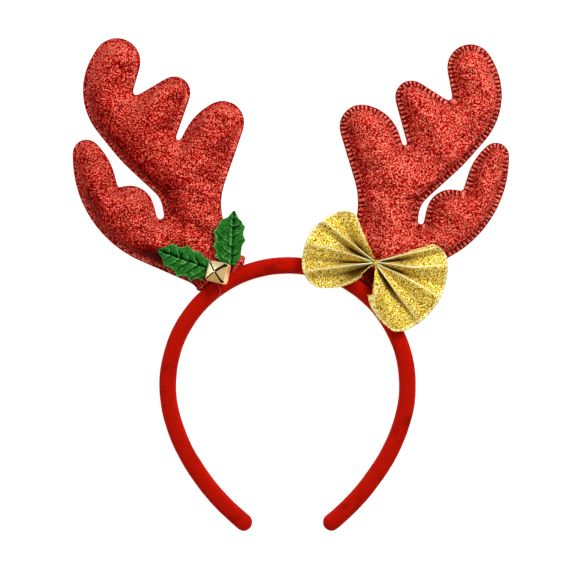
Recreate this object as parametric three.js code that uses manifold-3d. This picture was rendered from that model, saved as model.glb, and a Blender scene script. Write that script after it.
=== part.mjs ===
// Antler headband lying on its back, in millimetres, with +Z up.
// A padded velvet hoop carries two stuffed antlers on its crown. Two holly leaves and a
// jingle bell trim the foot of the left antler, and a pleated bow the foot of the right one.
// The pieces are laid out about the centre of the hoop's crown arc, with +X to the right and
// +Y towards the antler tips as seen from the front. The whole group is then moved so that
// its box stands centred on the origin.

import * as THREE from "three";
import { mergeVertices } from "three/addons/utils/BufferGeometryUtils.js";
import Module from "manifold-3d";

const wasm = await Module();
wasm.setup();

// Clearance between neighbouring pieces
const GAP = 0.35;

// Headband: a padded bar bent through three arcs on each side of the crown
const BAND_THICK = 9.6;
const BAND_DEPTH = 12;
const BAND_CORNER = 3.6;
const BAND_CORNER_STEPS = 3;
const BAND_STEP_DEG = 5;
const BAND_TIP_DEG = [25, 50, 70, 84];
const BAND_ARCS = [
  { name: "crown", radius: 68.5, sweep: 105 },
  { name: "temple", radius: 100, sweep: 16 },
  { name: "arm", radius: 133, sweep: 20 },
];

// Antlers: two layers of cloth sewn together round the edge and stuffed
const ANTLER_SEAM_Z = 6.5;
const ANTLER_LOFT = 7;
const ANTLER_FULL_RADIUS = 13;
const ANTLER_STEP = 3.6;
const ANTLER_TURN_DEG = 26;
const FLANGE_WIDTH = 3.2;
const FLANGE_SHARE = 0.35;
const FLANGE_EDGE_HALF = 0.5;
const FLANGE_INNER_HALF = 0.9;
const PUFF_SHARES = [0, 0.12, 0.38, 0.8];

// Antler outlines: round bends joined by straight tangents. out is the distance from the
// hoop's centre line, up the height over the hoop's centre. A negative r is an inner bend.
const ANTLER_LEFT_BENDS = [
  { bend: "foot_inner", out: 27.4, up: 70.8, r: 2.4 },
  { bend: "waist", out: 2.1, up: 103.7, r: -36 },
  { bend: "inner_tip", out: 37.1, up: 150.3, r: 12.3 },
  { bend: "inner_back", out: 28.4, up: 131, r: 33.2 },
  { bend: "inner_slot", out: 62.3, up: 141.3, r: -1.7 },
  { bend: "middle_tip", out: 64.7, up: 167.4, r: 9.2 },
  { bend: "upper_notch", out: 86.7, up: 167.3, r: -2 },
  { bend: "upper_tip", out: 97.6, up: 184.9, r: 13.5 },
  { bend: "upper_back", out: 79, up: 168.5, r: 37.8 },
  { bend: "beam_back", out: 21.7, up: 196.5, r: 100 },
  { bend: "outer_slot_side", out: 82.9, up: 101.2, r: -11.5 },
  { bend: "outer_slot", out: 72.7, up: 96.9, r: -2.3 },
  { bend: "bump", out: 90.3, up: 100.2, r: 13.9 },
  { bend: "outer_notch", out: 96.5, up: 113.5, r: -0.7 },
  { bend: "outer_face", out: 135.1, up: 110.7, r: 37.4 },
  { bend: "outer_tip", out: 114.9, up: 132.7, r: 7.8 },
  { bend: "outer_back", out: 58.1, up: 130.3, r: 64.5 },
  { bend: "foot_outer", out: 59.5, up: 50, r: -9.7 },
  { bend: "foot_under", out: 48, up: 47, r: 1.7 },
];
const ANTLER_RIGHT_BENDS = [
  { bend: "foot_inner", out: 29.9, up: 68.8, r: 2.6 },
  { bend: "waist", out: -4.7, up: 104.3, r: -45 },
  { bend: "inner_tip", out: 42.3, up: 147.9, r: 12.6 },
  { bend: "inner_back", out: 40.6, up: 136.4, r: 24.1 },
  { bend: "inner_slot", out: 66.9, up: 138.1, r: -1.5 },
  { bend: "middle_tip", out: 70.6, up: 165.1, r: 9.2 },
  { bend: "upper_notch", out: 92.3, up: 164.4, r: -2 },
  { bend: "upper_tip", out: 104.3, up: 181.8, r: 13.1 },
  { bend: "upper_back", out: 82.5, up: 165.9, r: 39.8 },
  { bend: "beam_back", out: 28.8, up: 196, r: 100 },
  { bend: "outer_slot_side", out: 87, up: 97.2, r: -12.3 },
  { bend: "outer_slot", out: 76.1, up: 93.7, r: -1.9 },
  { bend: "bump", out: 93.3, up: 98, r: 14 },
  { bend: "outer_notch", out: 99.7, up: 111.5, r: -0.7 },
  { bend: "outer_face", out: 136, up: 110.6, r: 34.2 },
  { bend: "outer_tip", out: 118.9, up: 131.1, r: 7.6 },
  { bend: "outer_back", out: 62.7, up: 129.7, r: 63.6 },
  { bend: "foot_outer", out: 62, up: 46.4, r: -9.7 },
  { bend: "foot_under", out: 50, up: 45.3, r: 1.7 },
];

// Holly leaves: stiff cupped sheets. Each row gives the half-widths left and right of the
// midrib at a distance from the base, and rows alternate between spines and hollows.
const LEAF_WALL = 1;
const LEAF_CUP = 0.9;
const LEAF_SHARES = [-1, -0.5, 0, 0.5, 1];
const LEAF_LOW = {
  base: [-45.4, 67, 13.2],
  heading: 160,
  rise: 2.2,
  rows: [
    { at: 0, left: 7.8, right: 4.5, lift: 0.4 },
    { at: 3.4, left: 7.4, right: 5.2, lift: 0 },
    { at: 6.3, left: 10.7, right: 7.1, lift: 0.4 },
    { at: 10.3, left: 8.6, right: 6.6, lift: 0 },
    { at: 14.6, left: 10.8, right: 8.4, lift: 0.4 },
    { at: 18.9, left: 7.2, right: 5.6, lift: 0 },
    { at: 23.5, left: 7.4, right: 6.4, lift: 0.4 },
    { at: 27, left: 2.9, right: 2.9, lift: 0 },
    { at: 30.4, left: 0.5, right: 0.5, lift: 0 },
  ],
};
const LEAF_HIGH = {
  base: [-31.9, 68.2, 13],
  heading: 87,
  rise: 2.2,
  rows: [
    { at: 0, left: 3.4, right: 2.3, lift: 0 },
    { at: 4.6, left: 10, right: 4.9, lift: 0.4 },
    { at: 7.5, left: 8.9, right: 5.2, lift: 0 },
    { at: 10.4, left: 11, right: 6, lift: 0.4 },
    { at: 13, left: 9.4, right: 6.4, lift: 0 },
    { at: 17, left: 11.4, right: 7.3, lift: 0.4 },
    { at: 21.6, left: 7.9, right: 5.4, lift: 0 },
    { at: 25.6, left: 7.9, right: 5.6, lift: 0.4 },
    { at: 28.6, left: 2.5, right: 2, lift: 0 },
    { at: 31.6, left: 0.5, right: 0.5, lift: 0 },
  ],
};

// Jingle bell: a hollow box of four petals, slotted along the corners of its front
const BELL_CENTRE = [-38.6, 64.8, 19];
const BELL_HALF = 6.4;
const BELL_WALL = 0.5;
const BELL_TILT_DEG = 22;
const BELL_TURN_DEG = -11;
const BELL_SIDES = 20;
const BELL_SLOT = 0.8;
const BELL_SLOT_HOLE = 0.8;
const BELL_HOLE_SIDES = 8;
const BELL_SLOT_REACH = 6.6;
const BELL_SLOT_DEPTH = 6;
const BELL_SQUARENESS = 3;
const BELL_ROWS = [
  { at: 6.2, size: 0.1 },
  { at: 3.8, size: 0.88 },
  { at: 2.9, size: 1 },
  { at: -2.2, size: 1 },
  { at: -4.2, size: 0.84 },
  { at: -5.6, size: 0.4 },
];

// Bow: one ribbon pleated across its width and gathered at the tie. Each row is a fold, from
// the top hem to the bottom hem, with its angle and reach in the left and the right wing.
const BOW_KNOT = [50, 70.5, 18.2];
const BOW_AXIS_DEG = -22;
const BOW_WALL = 1.5;
const BOW_NECK_SPREAD = 3;
const BOW_NECK_HALF = 1.6;
const BOW_FOLDS = [
  { left: 111, leftReach: 28.7, right: 19.5, rightReach: 32.7, lift: 1 },
  { left: 122, leftReach: 35.5, right: 11, rightReach: 39.6, lift: -1 },
  { left: 141, leftReach: 38.1, right: -2, rightReach: 42, lift: 1 },
  { left: 155, leftReach: 40.4, right: -17, rightReach: 42.4, lift: -1 },
  { left: 168, leftReach: 41.3, right: -32, rightReach: 43, lift: 1 },
  { left: 178, leftReach: 41.6, right: -48, rightReach: 43, lift: -1 },
  { left: 187.5, leftReach: 41.3, right: -64, rightReach: 42.6, lift: 1 },
  { left: 199, leftReach: 37.8, right: -80, rightReach: 37.8, lift: -1 },
  { left: 212, leftReach: 25.2, right: -101, rightReach: 20, lift: 0.4 },
];
// Depth of the pleats, and how far the wing stands forward, from the neck out to the rim
const BOW_STATIONS = [
  { share: 0, pleat: 0.6, forward: 0 },
  { share: 0.16, pleat: 2, forward: 0.4 },
  { share: 0.45, pleat: 2.6, forward: 0.8 },
  { share: 0.75, pleat: 2.1, forward: 0.6 },
  { share: 1, pleat: 1.4, forward: 0 },
];

// Tie: the ring of gold cord that gathers the bow's neck
const TIE_RADIUS = 0.7;
const TIE_EASE = 1.3;
const TIE_SIDES = 8;
const TIE_STEPS = 20;

const FINISHES = {
  headband: { color: 0xb81208, roughness: 0.95, metalness: 0 },
  antler: { color: 0xbe1e19, roughness: 0.55, metalness: 0.1 },
  leaf: { color: 0x146e28, roughness: 0.6, metalness: 0 },
  bell: { color: 0xe6c27a, roughness: 0.25, metalness: 1 },
  bow: { color: 0xe1be3c, roughness: 0.4, metalness: 0.5 },
};

const radians = THREE.MathUtils.degToRad;

// Closed geometry from points and triangles, with its faces turned outwards
function closedGeometry(points, triangles) {
  let volume = 0;
  for (const [a, b, c] of triangles) {
    volume += points[a].dot(points[b].clone().cross(points[c]));
  }
  const outward = volume > 0 ? triangles : triangles.map(([a, b, c]) => [a, c, b]);
  const geometry = new THREE.BufferGeometry();
  const positions = points.flatMap((p) => p.toArray());
  geometry.setAttribute("position", new THREE.Float32BufferAttribute(positions, 3));
  geometry.setIndex(outward.flat());
  geometry.computeVertexNormals();
  return geometry;
}

// Solid for cutting, from a closed geometry whose shared vertices are merged
function toSolid(geometry) {
  const bare = geometry.clone();
  bare.deleteAttribute("normal");
  bare.deleteAttribute("uv");
  const merged = mergeVertices(bare, 1e-4);
  const vertProperties = new Float32Array(merged.attributes.position.array);
  const triVerts = new Uint32Array(merged.index.array);
  return new wasm.Manifold(new wasm.Mesh({ numProp: 3, vertProperties, triVerts }));
}

function fromSolid(solid) {
  const mesh = solid.getMesh();
  const geometry = new THREE.BufferGeometry();
  geometry.setAttribute("position", new THREE.BufferAttribute(mesh.vertProperties, 3));
  geometry.setIndex(new THREE.BufferAttribute(mesh.triVerts, 1));
  geometry.computeVertexNormals();
  return geometry;
}

// Triangles between two rings of equal count, by the index of each ring's first point
function bandTriangles(first, second, count) {
  const triangles = [];
  for (let i = 0; i < count; i += 1) {
    const next = (i + 1) % count;
    triangles.push([first + i, first + next, second + next]);
    triangles.push([first + i, second + next, second + i]);
  }
  return triangles;
}

// Solid through rings of equal count, closed by a fan at each end
function loft(rings) {
  const count = rings[0].length;
  const points = rings.flat();
  const triangles = [];
  for (let k = 0; k + 1 < rings.length; k += 1) {
    triangles.push(...bandTriangles(k * count, (k + 1) * count, count));
  }
  const last = (rings.length - 1) * count;
  for (let i = 1; i + 1 < count; i += 1) {
    triangles.push([0, i + 1, i]);
    triangles.push([last, last + i, last + i + 1]);
  }
  return closedGeometry(points, triangles);
}

// Sheet with a wall: rows of points on its front, and the same points set back along Z
function sheet(rows, wall) {
  const width = rows[0].length;
  const front = rows.flat();
  const back = front.map((p) => new THREE.Vector3(p.x, p.y, p.z - wall));
  const behind = front.length;
  const triangles = [];
  for (let i = 0; i + 1 < rows.length; i += 1) {
    for (let j = 0; j + 1 < width; j += 1) {
      const a = i * width + j;
      const b = a + width;
      triangles.push([a, a + 1, b + 1], [a, b + 1, b]);
      const c = behind + a;
      const d = behind + b;
      triangles.push([c, d + 1, c + 1], [c, d, d + 1]);
    }
  }
  const lastRow = (rows.length - 1) * width;
  const rim = [];
  for (let j = 0; j < width; j += 1) rim.push(j);
  for (let i = 1; i < rows.length; i += 1) rim.push(i * width + width - 1);
  for (let j = width - 2; j >= 0; j -= 1) rim.push(lastRow + j);
  for (let i = rows.length - 2; i > 0; i -= 1) rim.push(i * width);
  rim.forEach((a, k) => {
    const b = rim[(k + 1) % rim.length];
    triangles.push([a, behind + a, behind + b], [a, behind + b, b]);
  });
  return closedGeometry([...front, ...back], triangles);
}

// Headband

// Stations of one half of the centreline, from the crown to the tip
function bandHalf() {
  const stations = [{ x: 0, y: BAND_ARCS[0].radius, angle: 0 }];
  for (const arc of BAND_ARCS) {
    const start = stations.at(-1);
    const centreX = start.x - arc.radius * Math.sin(radians(start.angle));
    const centreY = start.y - arc.radius * Math.cos(radians(start.angle));
    const steps = Math.round(arc.sweep / BAND_STEP_DEG);
    for (let k = 1; k <= steps; k += 1) {
      const angle = start.angle + (arc.sweep * k) / steps;
      const x = centreX + arc.radius * Math.sin(radians(angle));
      const y = centreY + arc.radius * Math.cos(radians(angle));
      stations.push({ x, y, angle });
    }
  }
  return stations;
}

// Section of the bar as [outward, height] points, with rounded corners
function bandSection(grow) {
  const half = BAND_THICK / 2 + grow;
  const corner = BAND_CORNER + grow;
  const points = [];
  for (const quarter of [0, 1, 2, 3]) {
    const right = quarter === 0 || quarter === 3;
    const upper = quarter < 2;
    const centreOut = (half - corner) * (right ? 1 : -1);
    const centreZ = upper ? BAND_DEPTH + grow - corner : corner - grow;
    for (let k = 0; k <= BAND_CORNER_STEPS; k += 1) {
      const angle = radians(90 * quarter + (90 * k) / BAND_CORNER_STEPS);
      points.push([centreOut + corner * Math.cos(angle), centreZ + corner * Math.sin(angle)]);
    }
  }
  return points;
}

// The bar from tip to tip. Its crown has no station on the centre line, so the bar has one
// flat length there, square to the centre line.
function bandGeometry(grow) {
  const half = bandHalf();
  const section = bandSection(grow);
  const middle = BAND_DEPTH / 2;
  const tip = BAND_THICK / 2 + grow;
  const depthHalf = middle + grow;
  const ring = (station, side, turn) => {
    const sin = Math.sin(radians(station.angle));
    const cos = Math.cos(radians(station.angle));
    const along = tip * Math.sin(radians(turn));
    const squeeze = Math.cos(radians(turn));
    const shallow = (depthHalf - tip * (1 - squeeze)) / depthHalf;
    return section.map(([out, z]) => {
      const x = station.x + out * squeeze * sin + along * cos;
      const y = station.y + out * squeeze * cos - along * sin;
      return new THREE.Vector3(side * x, y, middle + (z - middle) * shallow);
    });
  };
  const armTip = half.at(-1);
  const leftTip = BAND_TIP_DEG.map((turn) => ring(armTip, -1, turn)).reverse();
  const left = half.slice(1).map((station) => ring(station, -1, 0)).reverse();
  const right = half.slice(1).map((station) => ring(station, 1, 0));
  const rightTip = BAND_TIP_DEG.map((turn) => ring(armTip, 1, turn));
  return loft([...leftTip, ...left, ...right, ...rightTip]);
}

// Antlers

// Outline counter-clockwise from above, as points with their inward normals
function antlerOutline(bends, side) {
  const ordered = side < 0 ? bends : [...bends].reverse();
  const discs = ordered.map((row) => ({ x: side * row.out, y: row.up, r: row.r }));
  const count = discs.length;
  const normals = discs.map((disc, i) => {
    const next = discs[(i + 1) % count];
    const dx = next.x - disc.x;
    const dy = next.y - disc.y;
    return Math.atan2(dy, dx) - Math.acos((disc.r - next.r) / Math.hypot(dx, dy));
  });
  const outline = [];
  const put = (x, y, angle) => outline.push({ x, y, nx: -Math.cos(angle), ny: -Math.sin(angle) });
  discs.forEach((disc, i) => {
    const start = normals[(i + count - 1) % count];
    const end = normals[i];
    const sense = Math.sign(disc.r);
    const sweep = THREE.MathUtils.euclideanModulo(sense * (end - start), 2 * Math.PI);
    const byTurn = Math.ceil(sweep / radians(ANTLER_TURN_DEG));
    const byLength = Math.round((sweep * Math.abs(disc.r)) / ANTLER_STEP);
    const steps = Math.max(1, byTurn, byLength);
    for (let k = 0; k <= steps; k += 1) {
      const angle = start + (sense * sweep * k) / steps;
      put(disc.x + disc.r * Math.cos(angle), disc.y + disc.r * Math.sin(angle), angle);
    }
    const from = outline.at(-1);
    const next = discs[(i + 1) % count];
    const toX = next.x + next.r * Math.cos(end);
    const toY = next.y + next.r * Math.sin(end);
    const pieces = Math.round(Math.hypot(toX - from.x, toY - from.y) / ANTLER_STEP);
    for (let k = 1; k < pieces; k += 1) {
      put(from.x + ((toX - from.x) * k) / pieces, from.y + ((toY - from.y) * k) / pieces, end);
    }
  });
  return outline;
}

// Radius of the largest disc that touches the outline at one point from inside
function insideRadius(point, outline) {
  let radius = Infinity;
  for (const other of outline) {
    const dx = other.x - point.x;
    const dy = other.y - point.y;
    const inward = dx * point.nx + dy * point.ny;
    if (inward > 1e-3) radius = Math.min(radius, (dx * dx + dy * dy) / (2 * inward));
  }
  return radius;
}

function antlerGeometry(bends, side) {
  const outline = antlerOutline(bends, side);
  const radii = outline.map((point) => insideRadius(point, outline));
  const count = outline.length;
  // Rings from the edge inwards, each with its distance from the edge and height over the seam
  const edge = radii.map(() => ({ inset: 0, height: FLANGE_EDGE_HALF }));
  const puffs = PUFF_SHARES.map((share) =>
    radii.map((radius) => {
      const flange = Math.min(FLANGE_WIDTH, FLANGE_SHARE * radius);
      const loftHeight = ANTLER_LOFT * Math.sqrt(Math.min(1, radius / ANTLER_FULL_RADIUS));
      const rise = Math.sqrt(1 - (1 - share) ** 2);
      const height = FLANGE_INNER_HALF + Math.max(0, loftHeight - FLANGE_INNER_HALF) * rise;
      return { inset: flange + (radius - flange) * share, height };
    }),
  );
  const rings = [edge, ...puffs];
  const place = (ring, sign) =>
    outline.map((point, i) => {
      const { inset, height } = ring[i];
      const z = Math.max(0, ANTLER_SEAM_Z + sign * height);
      return new THREE.Vector3(point.x + point.nx * inset, point.y + point.ny * inset, z);
    });
  const front = rings.map((ring) => place(ring, 1));
  const back = rings.map((ring) => place(ring, -1));
  const points = [...front.flat(), ...back.flat()];
  const behind = rings.length * count;
  const triangles = bandTriangles(behind, 0, count);
  for (let k = 0; k + 1 < rings.length; k += 1) {
    triangles.push(...bandTriangles(k * count, (k + 1) * count, count));
    triangles.push(...bandTriangles(behind + (k + 1) * count, behind + k * count, count));
  }
  const inner = (rings.length - 1) * count;
  const contour = front.at(-1).map((p) => new THREE.Vector2(p.x, p.y));
  for (const [a, b, c] of THREE.ShapeUtils.triangulateShape(contour, [])) {
    triangles.push([inner + a, inner + b, inner + c]);
    triangles.push([behind + inner + a, behind + inner + c, behind + inner + b]);
  }
  return closedGeometry(points, triangles);
}

// The foot of an antler is a saddle that fits the hoop
function footedAntler(bends, side) {
  const seat = toSolid(bandGeometry(GAP));
  return fromSolid(toSolid(antlerGeometry(bends, side)).subtract(seat));
}

// Holly leaves

function leafGeometry(leaf) {
  const heading = radians(leaf.heading);
  const alongX = Math.cos(heading);
  const alongY = Math.sin(heading);
  const length = leaf.rows.at(-1).at;
  const [baseX, baseY, baseZ] = leaf.base;
  const rows = leaf.rows.map((row) =>
    LEAF_SHARES.map((share) => {
      const aside = share < 0 ? share * row.left : share * row.right;
      const cup = LEAF_CUP * (1 - (2 * Math.abs(share) - 1) ** 2);
      const z = baseZ + LEAF_WALL + (leaf.rise * row.at) / length + cup + row.lift * Math.abs(share);
      const x = baseX + alongX * row.at + alongY * aside;
      const y = baseY + alongY * row.at - alongX * aside;
      return new THREE.Vector3(x, y, z);
    }),
  );
  return sheet(rows, LEAF_WALL);
}

// Jingle bell

// Body of the bell about its own axis: rounded squares from the front point to the back
function bellBody(inset) {
  const half = BELL_HALF - inset;
  const scale = half / BELL_HALF;
  const rings = BELL_ROWS.map((row) => {
    const ring = [];
    for (let k = 0; k < BELL_SIDES; k += 1) {
      const angle = (2 * Math.PI * k) / BELL_SIDES;
      const cos = Math.cos(angle);
      const sin = Math.sin(angle);
      const power = Math.abs(cos) ** BELL_SQUARENESS + Math.abs(sin) ** BELL_SQUARENESS;
      const reach = (half * row.size) / power ** (1 / BELL_SQUARENESS);
      ring.push(new THREE.Vector3(reach * cos, reach * sin, row.at * scale));
    }
    return ring;
  });
  return loft(rings);
}

function bellGeometry() {
  let shell = toSolid(bellBody(0)).subtract(toSolid(bellBody(BELL_WALL)));
  const slotZ = BELL_ROWS[0].at + BELL_WALL - BELL_SLOT_DEPTH / 2;
  for (const diagonal of [45, 135]) {
    const slot = new THREE.BoxGeometry(2 * BELL_SLOT_REACH, BELL_SLOT, BELL_SLOT_DEPTH);
    slot.translate(0, 0, slotZ);
    slot.rotateZ(radians(diagonal));
    shell = shell.subtract(toSolid(slot));
  }
  for (const diagonal of [45, 135, 225, 315]) {
    const round = BELL_SLOT_HOLE;
    const hole = new THREE.CylinderGeometry(round, round, BELL_SLOT_DEPTH, BELL_HOLE_SIDES);
    hole.rotateX(Math.PI / 2);
    hole.translate(BELL_SLOT_REACH, 0, slotZ);
    hole.rotateZ(radians(diagonal));
    shell = shell.subtract(toSolid(hole));
  }
  return fromSolid(shell);
}

// Bow

// A fold's place in one wing, from the neck at share 0 to the rim at share 1
function bowPoint(fold, index, wing, station) {
  const axis = radians(BOW_AXIS_DEG);
  const across = BOW_NECK_SPREAD * (0.5 - index / (BOW_FOLDS.length - 1));
  const neckX = BOW_KNOT[0] + wing * BOW_NECK_HALF * Math.cos(axis) - across * Math.sin(axis);
  const neckY = BOW_KNOT[1] + wing * BOW_NECK_HALF * Math.sin(axis) + across * Math.cos(axis);
  const angle = radians(wing < 0 ? fold.left : fold.right);
  const reach = wing < 0 ? fold.leftReach : fold.rightReach;
  const rimX = BOW_KNOT[0] + reach * Math.cos(angle);
  const rimY = BOW_KNOT[1] + reach * Math.sin(angle);
  const x = THREE.MathUtils.lerp(neckX, rimX, station.share);
  const y = THREE.MathUtils.lerp(neckY, rimY, station.share);
  return new THREE.Vector3(x, y, BOW_KNOT[2] + station.forward + station.pleat * fold.lift);
}

function bowGeometry() {
  const wingRow = (wing, station) => BOW_FOLDS.map((fold, j) => bowPoint(fold, j, wing, station));
  const left = BOW_STATIONS.map((station) => wingRow(-1, station)).reverse();
  const right = BOW_STATIONS.map((station) => wingRow(1, station));
  return sheet([...left, ...right], BOW_WALL);
}

// Ring that stands round the neck: wide across the folds, low along Z
function tieGeometry() {
  const neckPleat = BOW_STATIONS[0].pleat;
  const wide = (TIE_EASE * BOW_NECK_SPREAD) / 2 + GAP + TIE_RADIUS;
  const low = TIE_EASE * (neckPleat + BOW_WALL / 2) + GAP + TIE_RADIUS;
  const rings = [];
  for (let k = 0; k < TIE_STEPS; k += 1) {
    const around = (2 * Math.PI * k) / TIE_STEPS;
    const ring = [];
    for (let j = 0; j < TIE_SIDES; j += 1) {
      const angle = (2 * Math.PI * j) / TIE_SIDES;
      const away = TIE_RADIUS * Math.cos(angle);
      const y = (wide + away) * Math.cos(around);
      const z = (low + away) * Math.sin(around);
      ring.push(new THREE.Vector3(TIE_RADIUS * Math.sin(angle), y, z));
    }
    rings.push(ring);
  }
  const triangles = [];
  for (let k = 0; k < TIE_STEPS; k += 1) {
    triangles.push(...bandTriangles(k * TIE_SIDES, ((k + 1) % TIE_STEPS) * TIE_SIDES, TIE_SIDES));
  }
  return closedGeometry(rings.flat(), triangles);
}

// Assembly

const headpiece = new THREE.Group();

function addPiece(name, geometry, finish) {
  const mesh = new THREE.Mesh(geometry, new THREE.MeshStandardMaterial(FINISHES[finish]));
  mesh.name = name;
  headpiece.add(mesh);
  return mesh;
}

addPiece("headband", bandGeometry(0), "headband");
addPiece("antler_left", footedAntler(ANTLER_LEFT_BENDS, -1), "antler");
addPiece("antler_right", footedAntler(ANTLER_RIGHT_BENDS, 1), "antler");
addPiece("holly_leaf_low", leafGeometry(LEAF_LOW), "leaf");
addPiece("holly_leaf_high", leafGeometry(LEAF_HIGH), "leaf");
addPiece("bow", bowGeometry(), "bow");

const bell = addPiece("jingle_bell", bellGeometry(), "bell");
bell.position.set(...BELL_CENTRE);
bell.rotation.set(0, radians(-BELL_TILT_DEG), radians(BELL_TURN_DEG), "YXZ");

const tie = addPiece("bow_tie", tieGeometry(), "bow");
tie.position.set(BOW_KNOT[0], BOW_KNOT[1], BOW_KNOT[2] - BOW_WALL / 2);
tie.rotation.z = radians(BOW_AXIS_DEG);

// The box stands on the origin
headpiece.updateMatrixWorld(true);
const box = new THREE.Box3().setFromObject(headpiece, true);
const middle = box.getCenter(new THREE.Vector3());
headpiece.position.set(-middle.x, -middle.y, -box.min.z);

export default headpiece;
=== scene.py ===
import math
import random

import bmesh
import bpy
from bpy.props import FloatProperty, FloatVectorProperty, PointerProperty
from mathutils import Matrix, Vector, noise
from mathutils.bvhtree import BVHTree
from mathutils.kdtree import KDTree


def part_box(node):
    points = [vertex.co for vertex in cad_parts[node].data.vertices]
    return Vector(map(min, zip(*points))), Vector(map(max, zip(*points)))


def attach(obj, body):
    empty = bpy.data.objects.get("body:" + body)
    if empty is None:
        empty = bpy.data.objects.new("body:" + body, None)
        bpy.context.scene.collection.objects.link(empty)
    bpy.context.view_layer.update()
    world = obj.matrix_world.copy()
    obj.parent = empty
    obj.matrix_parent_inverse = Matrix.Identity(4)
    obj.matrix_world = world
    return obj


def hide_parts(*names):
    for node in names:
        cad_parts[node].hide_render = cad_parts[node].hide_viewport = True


bl_info = {
    "name": "Antler headband",
    "version": (1, 0, 0),
    "blender": (4, 5, 0),
    "location": "View3D > Sidebar > Headpiece",
    "description": "Dresses a padded hoop with stuffed antlers, holly, a jingle bell and a pleated bow",
    "category": "Add Mesh",
}

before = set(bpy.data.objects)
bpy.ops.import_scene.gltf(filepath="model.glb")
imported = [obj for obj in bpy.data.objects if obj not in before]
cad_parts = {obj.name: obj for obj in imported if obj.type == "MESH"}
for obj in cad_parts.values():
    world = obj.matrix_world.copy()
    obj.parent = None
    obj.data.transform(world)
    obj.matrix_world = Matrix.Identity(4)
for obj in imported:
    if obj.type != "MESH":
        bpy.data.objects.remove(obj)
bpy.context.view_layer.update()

# Pieces are laid out in millimetres about the centre of the hoop's crown arc, and moved to
# the frame at the end. The crown's outer face is flat between 5 degrees either side.
MM = 0.001
CROWN_RADIUS = 68.5
BAND_LOW, BAND_HIGH = (Vector(corner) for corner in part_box("headband"))
BAR_HALF = 4.8
CROWN_TOP = (CROWN_RADIUS + BAR_HALF) * math.cos(math.radians(5))
HUB = Vector(((BAND_LOW.x + BAND_HIGH.x) / 2, BAND_HIGH.y - CROWN_TOP * MM, 0))
TO_ROW = Matrix.Translation(HUB) @ Matrix.Scale(MM, 4)
FROM_ROW = TO_ROW.inverted()

UP = Vector((0, 0, 1))


# Sizes and colours

def length(name, description, default):
    """A length in millimetres."""
    return FloatProperty(name=name, description=description, default=default, min=0.01, soft_max=200)


def colour(name, description, default):
    """A linear colour."""
    return FloatVectorProperty(
        name=name, description=description, default=default, subtype="COLOR", size=3, min=0, max=1
    )


class BandSettings(bpy.types.PropertyGroup):
    """The velvet hoop"""

    thick: length("Thickness", "Width of the bar across the hoop, in mm", 2 * BAR_HALF)
    depth: length("Depth", "Depth of the bar front to back, in mm", BAND_HIGH.z / MM)
    seam: length("Seam depth", "Depth of the sewn groove inside the hoop, in mm", 0.7)
    stitch: length("Seam stitch", "Pitch of the seam's stitches, in mm", 3.4)
    pile: colour("Velvet", "Colour of the velvet pile", (0.64, 0.009, 0.002))
    shade: colour("Velvet shade", "Colour where the pile lies away", (0.2, 0.002, 0.001))


class AntlerSettings(bpy.types.PropertyGroup):
    """The stuffed antlers"""

    seam_height: length("Seam height", "Height of the seam over the back, in mm", 6.5)
    edge: length("Edge", "Thickness of the sewn edge, in mm", 1.0)
    cell: length("Mesh step", "Size of the cloth's facets before smoothing, in mm", 1.0)
    flange: length("Flange", "Width of the pressed edge, in mm", 3.0)
    turn_out: length("Turn-out", "How far the edge stands out past the solid, in mm", 0.2)
    whip_pitch: length("Whip pitch", "Pitch of the whip stitches round the edge, in mm", 2.65)
    whip_length: length("Whip length", "Reach of a whip stitch from the edge, in mm", 4.3)
    run_pitch: length("Run pitch", "Pitch of the running stitches inside the edge, in mm", 2.3)
    thread: length("Thread", "Diameter of the sewing thread, in mm", 0.9)
    flake: length("Flake", "Size of a glitter flake, in mm", 0.85)
    dark: colour("Glitter dark", "Colour between the flakes", (0.16, 0.0, 0.0))
    base: colour("Glitter red", "Colour of the cloth", (0.68, 0.013, 0.006))
    bright: colour("Glitter bright", "Colour of a flake that catches the light", (1.0, 0.29, 0.2))
    thread_colour: colour("Thread", "Colour of the sewing thread", (0.1, 0.0, 0.0))


class LeafSettings(bpy.types.PropertyGroup):
    """The holly leaves"""

    wall: length("Wall", "Thickness of the stiff cloth, in mm", 0.6)
    vein: length("Vein depth", "Depth of the embossed veins, in mm", 0.7)
    green: colour("Leaf", "Colour of the leaf", (0.006, 0.15, 0.008))
    # The leaf light is a painted highlight on the ridges and edge; the leaf dark is painted shade in the
    # veins.
    light: colour("Leaf light", "Colour of its ridges and edge", (0.15, 0.56, 0.11))
    dark: colour("Leaf dark", "Colour in the veins", (0.0, 0.012, 0.002))


class BellSettings(bpy.types.PropertyGroup):
    """The jingle bell"""

    half: length("Half width", "Half the width of the bell, in mm", 5.9)
    wall: length("Wall", "Thickness of the metal, in mm", 0.45)
    slot: length("Slot", "Width of the slots between the petals, in mm", 1.0)
    metal: colour("Metal", "Colour of the plating", (1.0, 0.8, 0.4))


class BowSettings(bpy.types.PropertyGroup):
    """The pleated bow and its tie"""

    wall: length("Wall", "Thickness of the ribbon, in mm", 0.5)
    pleat: length("Pleat", "Depth of the pleats, in mm", 2.9)
    tie: length("Tie", "Diameter of the wire that ties the bow, in mm", 0.7)
    grain: length("Grain", "Size of the metal weave's grain, in mm", 0.68)
    gold: colour("Gold", "Colour of the ribbon", (1.0, 0.66, 0.02))
    bright: colour("Gold bright", "Colour of threads that catch the light", (1.0, 0.92, 0.42))
    dark: colour("Gold dark", "Colour between the threads", (0.22, 0.1, 0.003))
    # Painted highlight along a pleat's folded edge.
    crest: colour("Gold crest", "Colour along a pleat's folded edge", (1.0, 0.94, 0.5))
    # Painted shade deep in a pleat.
    deep: colour("Gold deep", "Colour deep in a pleat", (0.07, 0.025, 0.002))


class StageSettings(bpy.types.PropertyGroup):
    """Floor, light and camera"""

    lens: length("Lens", "Focal length of the camera, in mm", 100)
    width: length("View width", "Width that the camera takes in, in mm", 329.0)
    floor: colour("Floor", "Colour of the floor", (0.5, 0.5, 0.5))


# Materials

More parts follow.
